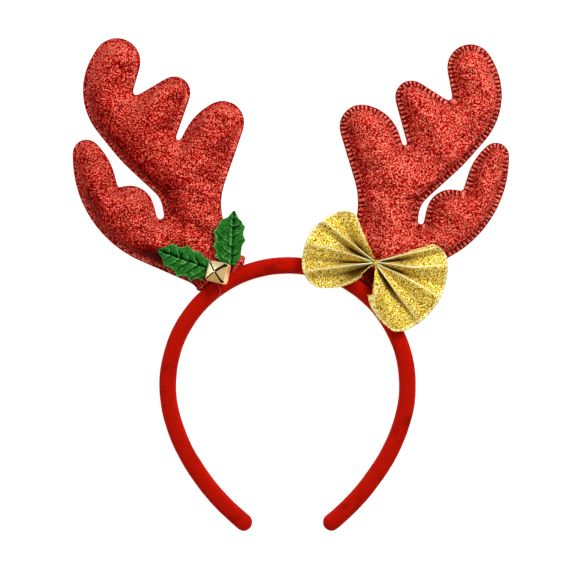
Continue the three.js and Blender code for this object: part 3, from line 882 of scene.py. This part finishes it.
class HEADPIECE_OT_antlers(bpy.types.Operator):
    """Two stuffed antlers of glitter cloth, sewn together round the edge"""

    bl_idname = "headpiece.antlers"
    bl_label = "Stuffed antlers"

    def execute(self, context):
        settings = context.scene.headpiece_antler
        front = glitter_material("glitter_cloth", settings, 0.0)
        # The right antler's glitter is painted a little brighter, standing in for the stronger light on
        # it.
        back = glitter_material("glitter_cloth_brightened", settings, 0.025)
        light = tuple(1.7 * c for c in settings.thread_colour)
        thread = thread_material("antler_thread", settings.thread_colour, light)
        pale = thread_material("antler_run_thread", (0.35, 0.01, 0.008), (0.9, 0.24, 0.18))
        for side, whip_face, cloth in (("left", -1, front), ("right", 1, back)):
            node_name = "antler_" + side
            solid = cad_solid(node_name)
            wire = seam_wire(solid, settings.seam_height, settings.cell)
            rim = Rim(walk(wire), RIM_SPACING)
            rim = self.turn_out(wire, rim, settings)
            panel = cut_panel(wire, rim, settings.cell)
            shell = sewn_shell(panel, settings.seam_height, settings.edge)
            stuff(shell, solid, rim, settings)
            solid.free()
            inflate(shell, rim, settings, SWELL_CAP)
            piece = put_piece(shell, side + "_antler", cloth, [node_name])
            smoother = piece.modifiers.new("smooth", "SUBSURF")
            smoother.levels = smoother.render_levels = 1
            fine = baked(piece)
            piece.modifiers.clear()
            self.pucker(fine, rim, settings, whip_face)
            old = piece.data
            piece.data = fine
            bpy.data.meshes.remove(old)
            for polygon in fine.polygons:
                polygon.use_smooth = True
            self.sew(side, fine, rim, settings, whip_face, thread, pale)
        data = thread_data("left_antler_lip", [FOOT_LIP], LIP_RADIUS, sides=5)
        lip = put_data(data, "left_antler_lip", [front])
        return {"FINISHED"}

    def turn_out(self, wire, rim, settings):
        """Lets the cloth's edge stand out a little, and presses the foot against the hoop."""
        for vert in wire.verts:
            _, index, _ = rim.tree.find((vert.co.x, vert.co.y, 0))
            reach = math.hypot(vert.co.x, vert.co.y)
            grow = settings.turn_out if reach > FOOT_REACH else FOOT_PRESS
            vert.co -= rim.inward[index] * grow
        return Rim(walk(wire), rim.spacing)

    def pucker(self, fine, rim, settings, whip_face):
        """Creases inside the seam and the cloth that stands up between the whip stitches, with painted
        shade in the creases, along the edge, on slopes turned from the light and under the bow's knot, and
        painted highlights on slopes turned to the light and on the puffs.
        """
        pitch = rim.length / round(rim.length / settings.whip_pitch)
        seam = settings.seam_height
        crease_and_painted_shade = fine.attributes.new("crease_and_painted_shade", "FLOAT", "POINT")
        painted_light = fine.attributes.new("painted_light", "FLOAT", "POINT")
        # How far each vertex's normal turns towards the painted glint.
        turned = [vert.normal.dot(GLINT) for vert in fine.vertices]
        for vert, turn in zip(fine.vertices, turned):
            place = FROM_ROW @ vert.co
            gap, along = rim.near(place)
            sign = 1 if place.z > seam else -1
            whipped = sign == whip_face
            face = WHIPPED_EDGE_SHADE if whipped else PLAIN_EDGE_SHADE
            # Painted highlight on slopes turned to the light, painted shade on slopes turned away.
            glint = turn * (GLINT_LIT if turn > 0 else face["painted_dimming"])
            painted_light.data[vert.index].value = glint
            if gap > PAINTED_SHADE_REACH:
                continue
            inward = rim.inward[int(along / rim.spacing) % len(rim.inward)]
            patchiness = max(0.1, 0.8 + 0.9 * noise.noise(Vector((place.x, place.y, 9)) * 0.06))
            facing_away = max(0.0, inward.dot(face["shaded_edge_inward"]))
            spread = PAINTED_SHADE_RISE if gap < face["inset"] else face["spread"]
            # Painted shade in the crease inside the edge, strongest on edges that face away from the
            # light.
            dark = (0.14 + 0.72 * facing_away) * patchiness * hump(gap, face["inset"], spread)
            # Painted shade as a dark line along the very edge.
            dark += 0.7 * hump(gap, 0, 0.55)
            # Painted shadow of the bow's knot.
            dark += 0.85 * math.exp(-(((place - KNOT_SHADE).length / KNOT_SHADE_REACH) ** 4))
            if whipped:
                swing = math.cos(2 * math.pi * along / pitch)
                lift, bright, ring = self.whipped_edge(gap, swing, inward, patchiness)
            else:
                lift, bright, ring = self.plain_edge(gap, inward)
            crease_and_painted_shade.data[vert.index].value = min(dark + ring, PAINTED_SHADE_MOST)
            painted_light.data[vert.index].value = glint + bright
            place.z = max(place.z + sign * lift, 0.0)
            vert.co = TO_ROW @ place

    def whipped_edge(self, gap, swing, inward, patchiness):
        """Lift, painted highlight and painted shade where the cloth bulges between the whip stitches."""
        lift = -0.5 * swing * hump(gap, 2.2, 1.5)
        bright = (0.6 + 0.6 * patchiness) * hump(gap, 1.6, 0.9) * max(0.0, -swing)
        ring = 0.13 * (1.0 + swing) * (1.0 - 0.8 * max(0.0, inward.y))
        return lift, bright, ring * hump(gap, 3.2, 1.2)

    def plain_edge(self, gap, inward):
        """Lift, painted highlight and painted shade beside the running stitch, by the way that the edge
        faces the light.
        """
        low, high = max(0.0, inward.y), max(0.0, -inward.y)
        bright = 0.4 * low * hump(gap, 1.5, 0.7) + 0.3 * high * hump(gap, 7.0, 3.0)
        return -0.2 * hump(gap, RUN_INSET, 0.6), bright, 0.2 * high * hump(gap, 1.5, 1.5)

    def sew(self, side, fine, rim, settings, whip_face, thread, pale):
        """Whip stitches over the edge on one face, and the running stitch on the other."""
        graph = bmesh.new()
        graph.from_mesh(fine)
        graph.transform(FROM_ROW)
        skin = BVHTree.FromBMesh(graph)
        graph.free()
        seam, radius = settings.seam_height, settings.thread / 2

        def on_skin(place, face, lift):
            start = Vector((place.x, place.y, seam + face * 40))
            hit = skin.ray_cast(start, Vector((0, 0, -face)))[0]
            height = hit.z if hit else seam + face * settings.edge / 2
            return Vector((place.x, place.y, max(height + face * lift, 0.0)))

        whips = []
        chance = random.Random(side)
        for place, inward in rim.stations(settings.whip_pitch):
            if place.length < FOOT_REACH:
                continue
            lean = Vector((-inward.y, inward.x, 0)) * chance.uniform(*WHIP_LEAN)
            reach = settings.whip_length * chance.uniform(*WHIP_REACH)
            path = []
            for share in WHIP_SHARES:
                spot = place + inward * (reach * share) + lean * share
                lift = -0.5 * radius if share == 1.0 else 0.45 * radius
                path.append(on_skin(spot, whip_face, lift))
            path.append(Vector((place.x, place.y, seam)) + inward * WHIP_TUCK)
            whips.append(path)
        data = thread_data(side + "_antler_whip", whips, radius)
        put_data(data, side + "_antler_whip", [thread])
        runs = []
        for place, inward in rim.stations(settings.run_pitch):
            if place.length < FOOT_REACH:
                continue
            along = Vector((inward.y, -inward.x, 0))
            base = place + inward * RUN_INSET
            runs.append(
                [on_skin(base + along * (RUN_HALF * k), -whip_face, lift) for k, lift in RUN_RISE.items()]
            )
        data = thread_data(side + "_antler_run", runs, RUN_RADIUS)
        put_data(data, side + "_antler_run", [pale])


# Holly leaves

LEAF_LOW = {
    "name": "holly_leaf_low", "piece": "low_holly_leaf", "base": (-45.4, 67, 13.2), "heading": 160,
    "rise": 2.2, "midrib": 0.9,
    "rows": (
        {"at": 0, "left": 7.8, "right": 4.5, "lift": 0.4},
        {"at": 3.4, "left": 7.4, "right": 5.2, "lift": 0},
        {"at": 6.3, "left": 10.7, "right": 7.1, "lift": 0.4},
        {"at": 10.3, "left": 8.6, "right": 6.6, "lift": 0},
        {"at": 14.6, "left": 10.8, "right": 8.4, "lift": 0.4},
        {"at": 18.9, "left": 7.2, "right": 5.6, "lift": 0},
        {"at": 23.5, "left": 7.4, "right": 6.4, "lift": 0.4},
        {"at": 27, "left": 2.9, "right": 2.9, "lift": 0},
        {"at": 29.8, "left": 0.55, "right": 0.55, "lift": 0},
    ),
}
LEAF_HIGH = {
    "name": "holly_leaf_high", "piece": "high_holly_leaf", "base": (-31.9, 68.2, 13), "heading": 87,
    "rise": 2.2, "midrib": 0.45,
    "rows": (
        {"at": 0, "left": 3.4, "right": 2.3, "lift": 0},
        {"at": 4.6, "left": 10, "right": 4.9, "lift": 0.4},
        {"at": 7.5, "left": 8.9, "right": 5.2, "lift": 0},
        {"at": 10.4, "left": 11, "right": 5.4, "lift": 0.4},
        {"at": 14.6, "left": 9.6, "right": 7.4, "lift": 0.2},
        {"at": 19, "left": 11.2, "right": 5.9, "lift": 0.2},
        {"at": 22.4, "left": 8.6, "right": 6.9, "lift": 0.2},
        {"at": 25.6, "left": 7.4, "right": 4.6, "lift": 0.2},
        {"at": 28.6, "left": 2.5, "right": 2, "lift": 0},
        {"at": 31, "left": 0.55, "right": 0.55, "lift": 0},
    ),
}
LEAF_CUP = 0.9
LEAF_ACROSS = 44
LEAF_ALONG = 84
VEIN_PITCH = 5.2
VEIN_SLANT = 0.75
RIM_FROM = 0.86


def leaf_half(rows, at, side):
    """Half-width and lift of a leaf at a distance from its base: sharp spines, round hollows."""
    for a, b in zip(rows, rows[1:]):
        if at <= b["at"]:
            f = (at - a["at"]) / (b["at"] - a["at"])
            wide, narrow = (a, b) if a[side] >= b[side] else (b, a)
            f = f if wide is a else 1 - f
            round_in = (1 - f) ** (1.1 if b is rows[-1] else 1.7)
            return narrow[side] + (wide[side] - narrow[side]) * round_in, wide["lift"] * round_in
    return rows[-1][side], 0.0


def leaf_point(leaf, share, at, settings):
    """Place on a leaf and the light and shade painted from its relief: share runs from edge to edge, at
    from base to tip.
    """
    reach = leaf["rows"][-1]["at"]
    heading = math.radians(leaf["heading"])
    along = Vector((math.cos(heading), math.sin(heading), 0))
    across = Vector((along.y, -along.x, 0))
    width, lift = leaf_half(leaf["rows"], at, "left" if share < 0 else "right")
    aside = share * width
    cup = LEAF_CUP * (1 - (2 * abs(share) - 1) ** 2)
    fade = min(1.0, (reach - at) / 5)
    wander = noise.noise(Vector((aside * 0.25, at * 0.3, 7 + leaf["heading"])))
    phase = (at - VEIN_SLANT * abs(aside) + 1.3 * wander) / VEIN_PITCH
    near = (phase - round(phase)) * VEIN_PITCH
    run = (1 - abs(share) ** 2) * (0.75 + 0.5 * noise.noise(Vector((round(phase) * 3.7, share, 2))))
    groove = hump(near, 0, 0.75 - 0.35 * abs(share)) * run
    crest = hump(near, 1.05, 0.5) * run
    midrib = hump(aside + 0.5 * wander, 0, 0.5)
    spine = hump(aside + 0.5 * wander, -0.95, 0.45)
    emboss = fade * (0.8 * crest - groove + 0.6 * spine - leaf["midrib"] * midrib)
    rim = max(0.0, (abs(share) - RIM_FROM) / (1 - RIM_FROM))
    crease_and_painted_shade = noise.noise(Vector((aside * 0.35, at * 0.35, leaf["heading"]))) * 0.5
    z = leaf["base"][2] + settings.wall + leaf["rise"] * at / reach + cup + lift * abs(share)
    z += settings.vein * emboss + crease_and_painted_shade + 0.25 * rim
    place = Vector(leaf["base"]) + along * at + across * aside
    # Painted light and shade: lighter on the ridges, spine, edge and raised crinkles, darker in the veins,
    # midrib and sunk crinkles.
    relief_shading = 0.5 + 0.62 * emboss + 0.4 * fade * rim + 0.3 * crease_and_painted_shade
    return Vector((place.x, place.y, z)), relief_shading


class HEADPIECE_OT_leaves(bpy.types.Operator):
    """Two stiff holly leaves with embossed veins"""

    bl_idname = "headpiece.leaves"
    bl_label = "Holly leaves"

    def execute(self, context):
        settings = context.scene.headpiece_leaf
        material = leaf_material(settings)
        for leaf in (LEAF_LOW, LEAF_HIGH):
            self.make(leaf, settings, material)
        return {"FINISHED"}

    def make(self, leaf, settings, material):
        """One leaf: an embossed sheet, with the size that it is cut to."""
        rows = leaf["rows"]
        reach = rows[-1]["at"]
        mesh = bmesh.new()
        bmesh.ops.create_grid(mesh, x_segments=LEAF_ACROSS, y_segments=LEAF_ALONG, size=1)
        layer = mesh.verts.layers.float.new("relief_shading")
        for vert in mesh.verts:
            vert.co, vert[layer] = leaf_point(leaf, vert.co.x, (vert.co.y + 1) / 2 * reach, settings)
        face_up(mesh)
        piece = put_piece(mesh, leaf["piece"], material, [leaf["name"]])
        thicken(piece, settings.wall)


# Jingle bell

BELL_CENTRE = (-39.1, 64.4, 18.6)
BELL_TILT = 22
BELL_NOD = 6
BELL_TURN = -11
BELL_SQUARENESS = 8
PETAL_PATH = (
    {"out": 0.0, "up": 5.9, "slot": 1.0},
    {"out": 1.2, "up": 5.72, "slot": 1.0},
    {"out": 2.6, "up": 5.35, "slot": 1.0},
    {"out": 4.0, "up": 4.85, "slot": 1.0},
    {"out": 5.2, "up": 4.3, "slot": 1.25},
    {"out": 5.9, "up": 3.85, "slot": 1.6},
    {"out": 6.3, "up": 3.3, "slot": 1.7},
    {"out": 6.4, "up": 2.6, "slot": 1.7},
    {"out": 6.4, "up": 1.8, "slot": 1.2},
    {"out": 6.4, "up": 1.2, "slot": 0.0},
    {"out": 6.4, "up": 0.0, "slot": 0.0},
    {"out": 6.4, "up": -2.2, "slot": 0.0},
    {"out": 5.9, "up": -3.6, "slot": 0.0},
    {"out": 4.8, "up": -4.7, "slot": 0.0},
    {"out": 2.6, "up": -5.5, "slot": 0.0},
    {"out": 0.0, "up": -5.7, "slot": 0.0},
)
PETAL_ACROSS = 10
SLOTS = (1.6, 1.0, 0.9, 1.2)
# Painted reflection: how pale each petal is painted, paler on the petals that face the light.
PETAL_PAINTED_LIGHT = (0.35, 0.8, 1.0, 0.15)
SLOT_SLANT = 0.7071
FOLD_ROUND = 0.12
BELL_CORE = Vector((10.4, 10.4, 8.4))
BELL_CORE_UP = -0.6
BELL_CORE_ROUND = 1.6
BELL_THREAD = (
    (-39.5, 58.0, 11.95), (-38.9, 56.2, 12.1), (-38.2, 54.6, 11.95), (-38.2, 53.2, 11.45),
    (-38.8, 51.9, 10.8), (-39.8, 50.6, 10.2), (-40.9, 49.4, 9.5),
)


class HEADPIECE_OT_bell(bpy.types.Operator):
    """A square jingle bell of four folded petals, and the thread that holds it"""

    bl_idname = "headpiece.bell"
    bl_label = "Jingle bell"

    def execute(self, context):
        settings = context.scene.headpiece_bell
        place = Matrix.Translation(BELL_CENTRE)
        place = place @ Matrix.Rotation(math.radians(-BELL_TILT), 4, "Y")
        place = place @ Matrix.Rotation(math.radians(-BELL_NOD), 4, "X")
        place = place @ Matrix.Rotation(math.radians(BELL_TURN), 4, "Z")
        mesh = bmesh.new()
        plating = mesh.verts.layers.float.new("plating")
        grow = settings.half / max(row["out"] for row in PETAL_PATH)
        for quarter in range(4):
            made = bmesh.ops.create_grid(
                mesh, x_segments=PETAL_ACROSS, y_segments=len(PETAL_PATH) - 1, size=1
            )["verts"]
            for vert in made:
                share = vert.co.x
                row = PETAL_PATH[round((vert.co.y + 1) / 2 * (len(PETAL_PATH) - 1))]
                out = row["out"] * grow
                wide = SLOTS[quarter if share > 0 else quarter - 1]
                half = max(0.0, out - SLOT_SLANT * settings.slot * wide * row["slot"])
                slant = abs(share * half / max(out, 0.01))
                corner = (1 + slant ** BELL_SQUARENESS) ** (-1 / BELL_SQUARENESS)
                vert.co = (out * corner, share * half * corner, row["up"] * grow)
                # Painted reflection for this petal.
                vert[plating] = PETAL_PAINTED_LIGHT[quarter]
            bmesh.ops.rotate(
                mesh, verts=made, cent=(0, 0, 0), matrix=Matrix.Rotation(math.pi / 2 * quarter, 3, "Z")
            )
        bmesh.ops.remove_doubles(mesh, verts=mesh.verts, dist=0.02)
        bmesh.ops.dissolve_degenerate(mesh, edges=mesh.edges, dist=1e-3)
        bmesh.ops.recalc_face_normals(mesh, faces=mesh.faces)
        if sum(f.normal.dot(f.calc_center_median()) for f in mesh.faces) < 0:
            bmesh.ops.reverse_faces(mesh, faces=mesh.faces)
        mesh.transform(place)
        bell = put_piece(mesh, "square_bell", bell_material(settings), ["jingle_bell"], False)
        thicken(bell, settings.wall)
        edge = bell.modifiers.new("folds", "BEVEL")
        edge.width = FOLD_ROUND * MM
        edge.segments = 2
        edge.limit_method = "ANGLE"
        edge.angle_limit = math.radians(35)
        # Painted shadow: a near-black core inside the bell, seen through its slots.
        core = bmesh.new()
        bmesh.ops.create_cube(core, size=1)
        bmesh.ops.scale(core, vec=BELL_CORE * grow, verts=core.verts)
        bmesh.ops.translate(core, vec=(0, 0, BELL_CORE_UP), verts=core.verts)
        bmesh.ops.bevel(
            core, geom=core.edges, offset=BELL_CORE_ROUND, segments=3,
            affect="EDGES", profile=0.5, material=-1,
        )
        core.transform(place)
        put_piece(core, "bell_inside_shadow", bell_shadow_material())
        self.thread()
        return {"FINISHED"}

    def thread(self):
        """The end of the bell's sewing thread, which lies across the hoop."""
        data = thread_data("bell_thread", [BELL_THREAD], SEAM_THREAD)
        thread = thread_material("bell_thread", (0.5, 0.05, 0.04), (0.8, 0.2, 0.16))
        put_data(data, "bell_thread", [thread])


# Bow

BOW_KNOT = (49, 69.9, 18.2)
BOW_AXIS = -22
BOW_SIZE = 0.985
NECK_SPREAD = 3.0
NECK_HALF = 1.2
BOW_LEFT = (
    {"angle": 111, "reach": 29.5, "lift": 0.6, "swing": 0},
    {"angle": 118, "reach": 33.8, "lift": 0.2, "swing": 3},
    {"angle": 129, "reach": 36.7, "lift": -0.9, "swing": 10},
    {"angle": 141, "reach": 38.3, "lift": 1.0, "swing": 0},
    {"angle": 147, "reach": 39.6, "lift": -0.95, "swing": 6},
    {"angle": 156, "reach": 40.7, "lift": 0.0, "swing": 4},
    {"angle": 164, "reach": 41.2, "lift": 1.0, "swing": -4},
    {"angle": 172, "reach": 41.4, "lift": 0.0, "swing": 2},
    {"angle": 180, "reach": 41.6, "lift": -0.95, "swing": -1},
    {"angle": 187, "reach": 41.3, "lift": 1.0, "swing": 0},
    {"angle": 193, "reach": 40.0, "lift": -0.9, "swing": 14},
    {"angle": 199, "reach": 37.8, "lift": -0.7, "swing": 26},
    {"angle": 203.5, "reach": 35.0, "lift": 0.3, "swing": 34},
)
BOW_RIGHT = (
    {"angle": 17.8, "reach": 35.0, "lift": 0.0, "swing": 0},
    {"angle": 14, "reach": 37.8, "lift": 0.95, "swing": 0},
    {"angle": 7, "reach": 41.0, "lift": -0.95, "swing": -2},
    {"angle": -1, "reach": 41.9, "lift": 1.0, "swing": -12},
    {"angle": -10, "reach": 42.3, "lift": 0.1, "swing": -8},
    {"angle": -20, "reach": 42.7, "lift": -0.95, "swing": -2},
    {"angle": -28, "reach": 42.9, "lift": 0.95, "swing": 4},
    {"angle": -41, "reach": 43.0, "lift": 0.2, "swing": -4},
    {"angle": -52, "reach": 43.0, "lift": 0.95, "swing": -5},
    {"angle": -58, "reach": 42.8, "lift": -0.85, "swing": 2},
    {"angle": -66, "reach": 42.6, "lift": 0.4, "swing": -20},
    {"angle": -74, "reach": 41.0, "lift": 0.6, "swing": -55},
)
CORNER_AT = {-1: 0.27, 1: 0.43}
CORNER_DEG = 9
SWING_LEFT = 0.8
SWING_RIGHT = 0.56
BOW_DEPTH = (0.3, 1.0, 1.12, 0.95, 0.7, 0.5, 0.37, 0.31, 0.29)
BOW_FORWARD = (0, 0.5, 0.9, 1.1, 1.1, 0.9, 0.6, 0.3, 0)
BOW_ACROSS = 220
BOW_ALONG = 116
HEM = 1.5
CREST_FROM = 0.9
CREST_WIDTH = 0.4
TIE_TURNS = 3
TIE_STEPS = 28
TIE_SPACING = 0.9
TIE_WIDE = 1.75
TIE_HIGH = 1.9
TIE_DROP = 0.2


def bow_point(share, out, settings):
    """Place on the ribbon: share runs from the top hem to the bottom, out from rim to rim."""
    wing = BOW_LEFT if out < 0 else BOW_RIGHT
    sign = -1 if out < 0 else 1
    t = abs(out)
    row_at = share * (len(wing) - 1)
    reach = BOW_SIZE * curve_through([row["reach"] for row in wing], row_at)
    swing = curve_through([row["swing"] for row in wing], row_at)
    angle = curve_through([row["angle"] for row in wing], row_at)
    angle = angle + swing * min(SWING_LEFT if out < 0 else SWING_RIGHT, 1 - t)
    if t < CORNER_AT[sign]:
        angle += sign * CORNER_DEG * max(0.0, row_at - len(wing) + 2)
    angle = math.radians(angle)
    lifts = [row["lift"] for row in wing]
    soft = min(1.0, t / 0.8)
    crisp = straight_through(lifts, row_at)
    lift = crisp + (curve_through(lifts, row_at) - crisp) * soft
    axis = math.radians(BOW_AXIS)
    across = NECK_SPREAD * (0.5 - share)
    neck = Vector((
        sign * NECK_HALF * math.cos(axis) - across * math.sin(axis),
        sign * NECK_HALF * math.sin(axis) + across * math.cos(axis),
        0,
    ))
    rim = Vector((reach * math.cos(angle), reach * math.sin(angle), 0))
    place = Vector(BOW_KNOT) + neck.lerp(rim, t)
    station = t * (len(BOW_DEPTH) - 1)
    depth = settings.pleat * curve_through(BOW_DEPTH, station)
    ripple = noise.noise(Vector((share * 9, out * 3, 4))) * 0.35 * t
    inset = (1 - t) * reach
    hem = 0.22 if inset < HEM else -0.12 * hump(inset - HEM, 0.35, 0.4)
    place.z += curve_through(BOW_FORWARD, station) + depth * lift + ripple + hem
    # Painted shade in the pleats' valleys near the knot.
    near = 1 - min(max((t - 0.34) / 0.4, 0.0), 1.0)
    fold_shade = min(1.0, max(0.0, -crisp) * 1.25) * near
    # Painted highlight along each pleat's folded edge.
    crest = 0.0
    for k, row in enumerate(wing):
        if row["lift"] > CREST_FROM:
            span = abs(wing[max(k - 1, 0)]["angle"] - wing[min(k + 1, len(wing) - 1)]["angle"]) / 2
            off = ((row_at - k) * math.radians(span)) * reach * max(t, 0.15)
            crest = max(crest, hump(off, 0, CREST_WIDTH) * (1 - 0.35 * t))
    # Lighter dashes along the hems, kept with the painted highlight.
    edge = min(share, 1 - share) * math.pi / 2 * reach * t
    if 0.3 < inset < HEM or (t > 0.3 and 0.25 < edge < 1.2):
        crest = max(crest, 0.5 + 0.45 * math.sin(160 * share if inset < HEM else 70 * t))
    return place, fold_shade, crest


class HEADPIECE_OT_bow(bpy.types.Operator):
    """A pleated bow of metal ribbon, gathered by a few turns of wire"""

    bl_idname = "headpiece.bow"
    bl_label = "Pleated bow"

    def execute(self, context):
        settings = context.scene.headpiece_bow
        gold = gold_material("gold_ribbon", settings)
        mesh = bmesh.new()
        bmesh.ops.create_grid(mesh, x_segments=BOW_ACROSS, y_segments=BOW_ALONG, size=1)
        fold_shade_layer = mesh.verts.layers.float.new("fold_shade")
        crest_layer = mesh.verts.layers.float.new("crest")
        for vert in mesh.verts:
            out = math.copysign(1 - (1 - abs(vert.co.y)) ** 1.15, vert.co.y)
            place, fold_shade, crest = bow_point((vert.co.x + 1) / 2, out, settings)
            vert.co = place
            vert[fold_shade_layer] = fold_shade
            vert[crest_layer] = crest
        face_up(mesh)
        piece = put_piece(mesh, "pleated_bow", gold, ["bow"])
        thicken(piece, settings.wall)
        self.tie(settings)
        return {"FINISHED"}

    def tie(self, settings):
        """Turns of wire round the bow's neck."""
        turn = Matrix.Translation(BOW_KNOT) @ Matrix.Rotation(math.radians(BOW_AXIS), 4, "Z")
        paths = []
        for k in range(TIE_TURNS):
            path = []
            for step in range(TIE_STEPS):
                around = 2 * math.pi * step / TIE_STEPS
                slip = (k - 1) * settings.tie * TIE_SPACING + 0.25 * math.sin(around + 2 * k)
                spot = Vector((slip, TIE_WIDE * math.cos(around), TIE_HIGH * math.sin(around) - TIE_DROP))
                path.append(turn @ spot)
            paths.append(path)
        data = thread_data("bow_wire", paths, settings.tie / 2, cyclic=True)
        put_data(data, "bow_wire", [gold_material("gold_cord", settings)], ["bow_tie"])


# Stage

FLOOR_HALF = 20.0
FLOOR_DROP = 0.0003
LIGHTS = (
    {"name": "key_light", "place": (0.5, 0.55, 0.85), "power": 10.5, "size": 0.5},
    {"name": "fill_light", "place": (-0.75, 0.5, 0.75), "power": 2.2, "size": 0.8},
    {"name": "side_light", "place": (-0.95, 0.1, 0.3), "power": 1.2, "size": 0.5},
)
SKY = (1.0, 0.9, 0.74)
SKY_STRENGTH = 0.25
SENSOR = 36
CAMERA_OVER = Vector((-0.0017, -0.0021, 0.0065))


class HEADPIECE_OT_stage(bpy.types.Operator):
    """Pale floor, soft light and the camera over the headband"""

    bl_idname = "headpiece.stage"
    bl_label = "Stage"

    def execute(self, context):
        settings = context.scene.headpiece_stage
        mesh = bmesh.new()
        bmesh.ops.create_grid(mesh, x_segments=4, y_segments=4, size=FLOOR_HALF)
        bmesh.ops.translate(mesh, vec=(0, 0, -FLOOR_DROP), verts=mesh.verts)
        data = bpy.data.meshes.new("floor")
        mesh.to_mesh(data)
        mesh.free()
        data.materials.append(floor_material(settings))
        floor = bpy.data.objects.new("floor", data)
        context.scene.collection.objects.link(floor)
        for lamp in LIGHTS:
            self.light(context, **lamp)
        world = bpy.data.worlds.new("studio")
        world.use_nodes = True
        backdrop = world.node_tree.nodes["Background"]
        backdrop.inputs["Color"].default_value = rgba(SKY)
        backdrop.inputs["Strength"].default_value = SKY_STRENGTH
        context.scene.world = world
        context.scene.view_settings.view_transform = "Standard"
        camera = bpy.data.cameras.new("camera")
        camera.sensor_width = SENSOR
        camera.lens = settings.lens
        camera.clip_start = 0.01
        holder = bpy.data.objects.new("camera", camera)
        distance = settings.width / SENSOR * settings.lens * MM
        holder.location = CAMERA_OVER + UP * distance
        context.scene.collection.objects.link(holder)
        context.scene.camera = holder
        return {"FINISHED"}

    def light(self, context, name, place, power, size):
        """A round soft lamp that faces the middle of the headband."""
        lamp = bpy.data.lights.new(name, "AREA")
        lamp.shape = "DISK"
        lamp.size = size
        lamp.energy = power
        holder = bpy.data.objects.new(name, lamp)
        holder.location = place
        holder.rotation_euler = (-Vector(place)).to_track_quat("-Z", "Y").to_euler()
        context.scene.collection.objects.link(holder)


class HEADPIECE_PT_panel(bpy.types.Panel):
    """The pieces of the headband, in the order that they are made"""

    bl_idname = "HEADPIECE_PT_panel"
    bl_label = "Antler headband"
    bl_space_type = "VIEW_3D"
    bl_region_type = "UI"
    bl_category = "Headpiece"

    def draw(self, context):
        for operator in OPERATORS:
            self.layout.operator(operator.bl_idname)


SETTINGS = {
    "headpiece_band": BandSettings,
    "headpiece_antler": AntlerSettings,
    "headpiece_leaf": LeafSettings,
    "headpiece_bell": BellSettings,
    "headpiece_bow": BowSettings,
    "headpiece_stage": StageSettings,
}
OPERATORS = (
    HEADPIECE_OT_band,
    HEADPIECE_OT_antlers,
    HEADPIECE_OT_leaves,
    HEADPIECE_OT_bell,
    HEADPIECE_OT_bow,
    HEADPIECE_OT_stage,
)
CLASSES = (*SETTINGS.values(), *OPERATORS, HEADPIECE_PT_panel)


def register():
    """Adds the operators, the panel and their settings."""
    for item in CLASSES:
        bpy.utils.register_class(item)
    for name, group in SETTINGS.items():
        setattr(bpy.types.Scene, name, PointerProperty(type=group))


def unregister():
    """Takes them away again."""
    for name in SETTINGS:
        delattr(bpy.types.Scene, name)
    for item in reversed(CLASSES):
        bpy.utils.unregister_class(item)


def main():
    """Makes every piece in order."""
    register()
    bpy.ops.headpiece.stage()
    bpy.ops.headpiece.band()
    bpy.ops.headpiece.antlers()
    bpy.ops.headpiece.leaves()
    bpy.ops.headpiece.bell()
    bpy.ops.headpiece.bow()


if __name__ == "__main__":
    main()
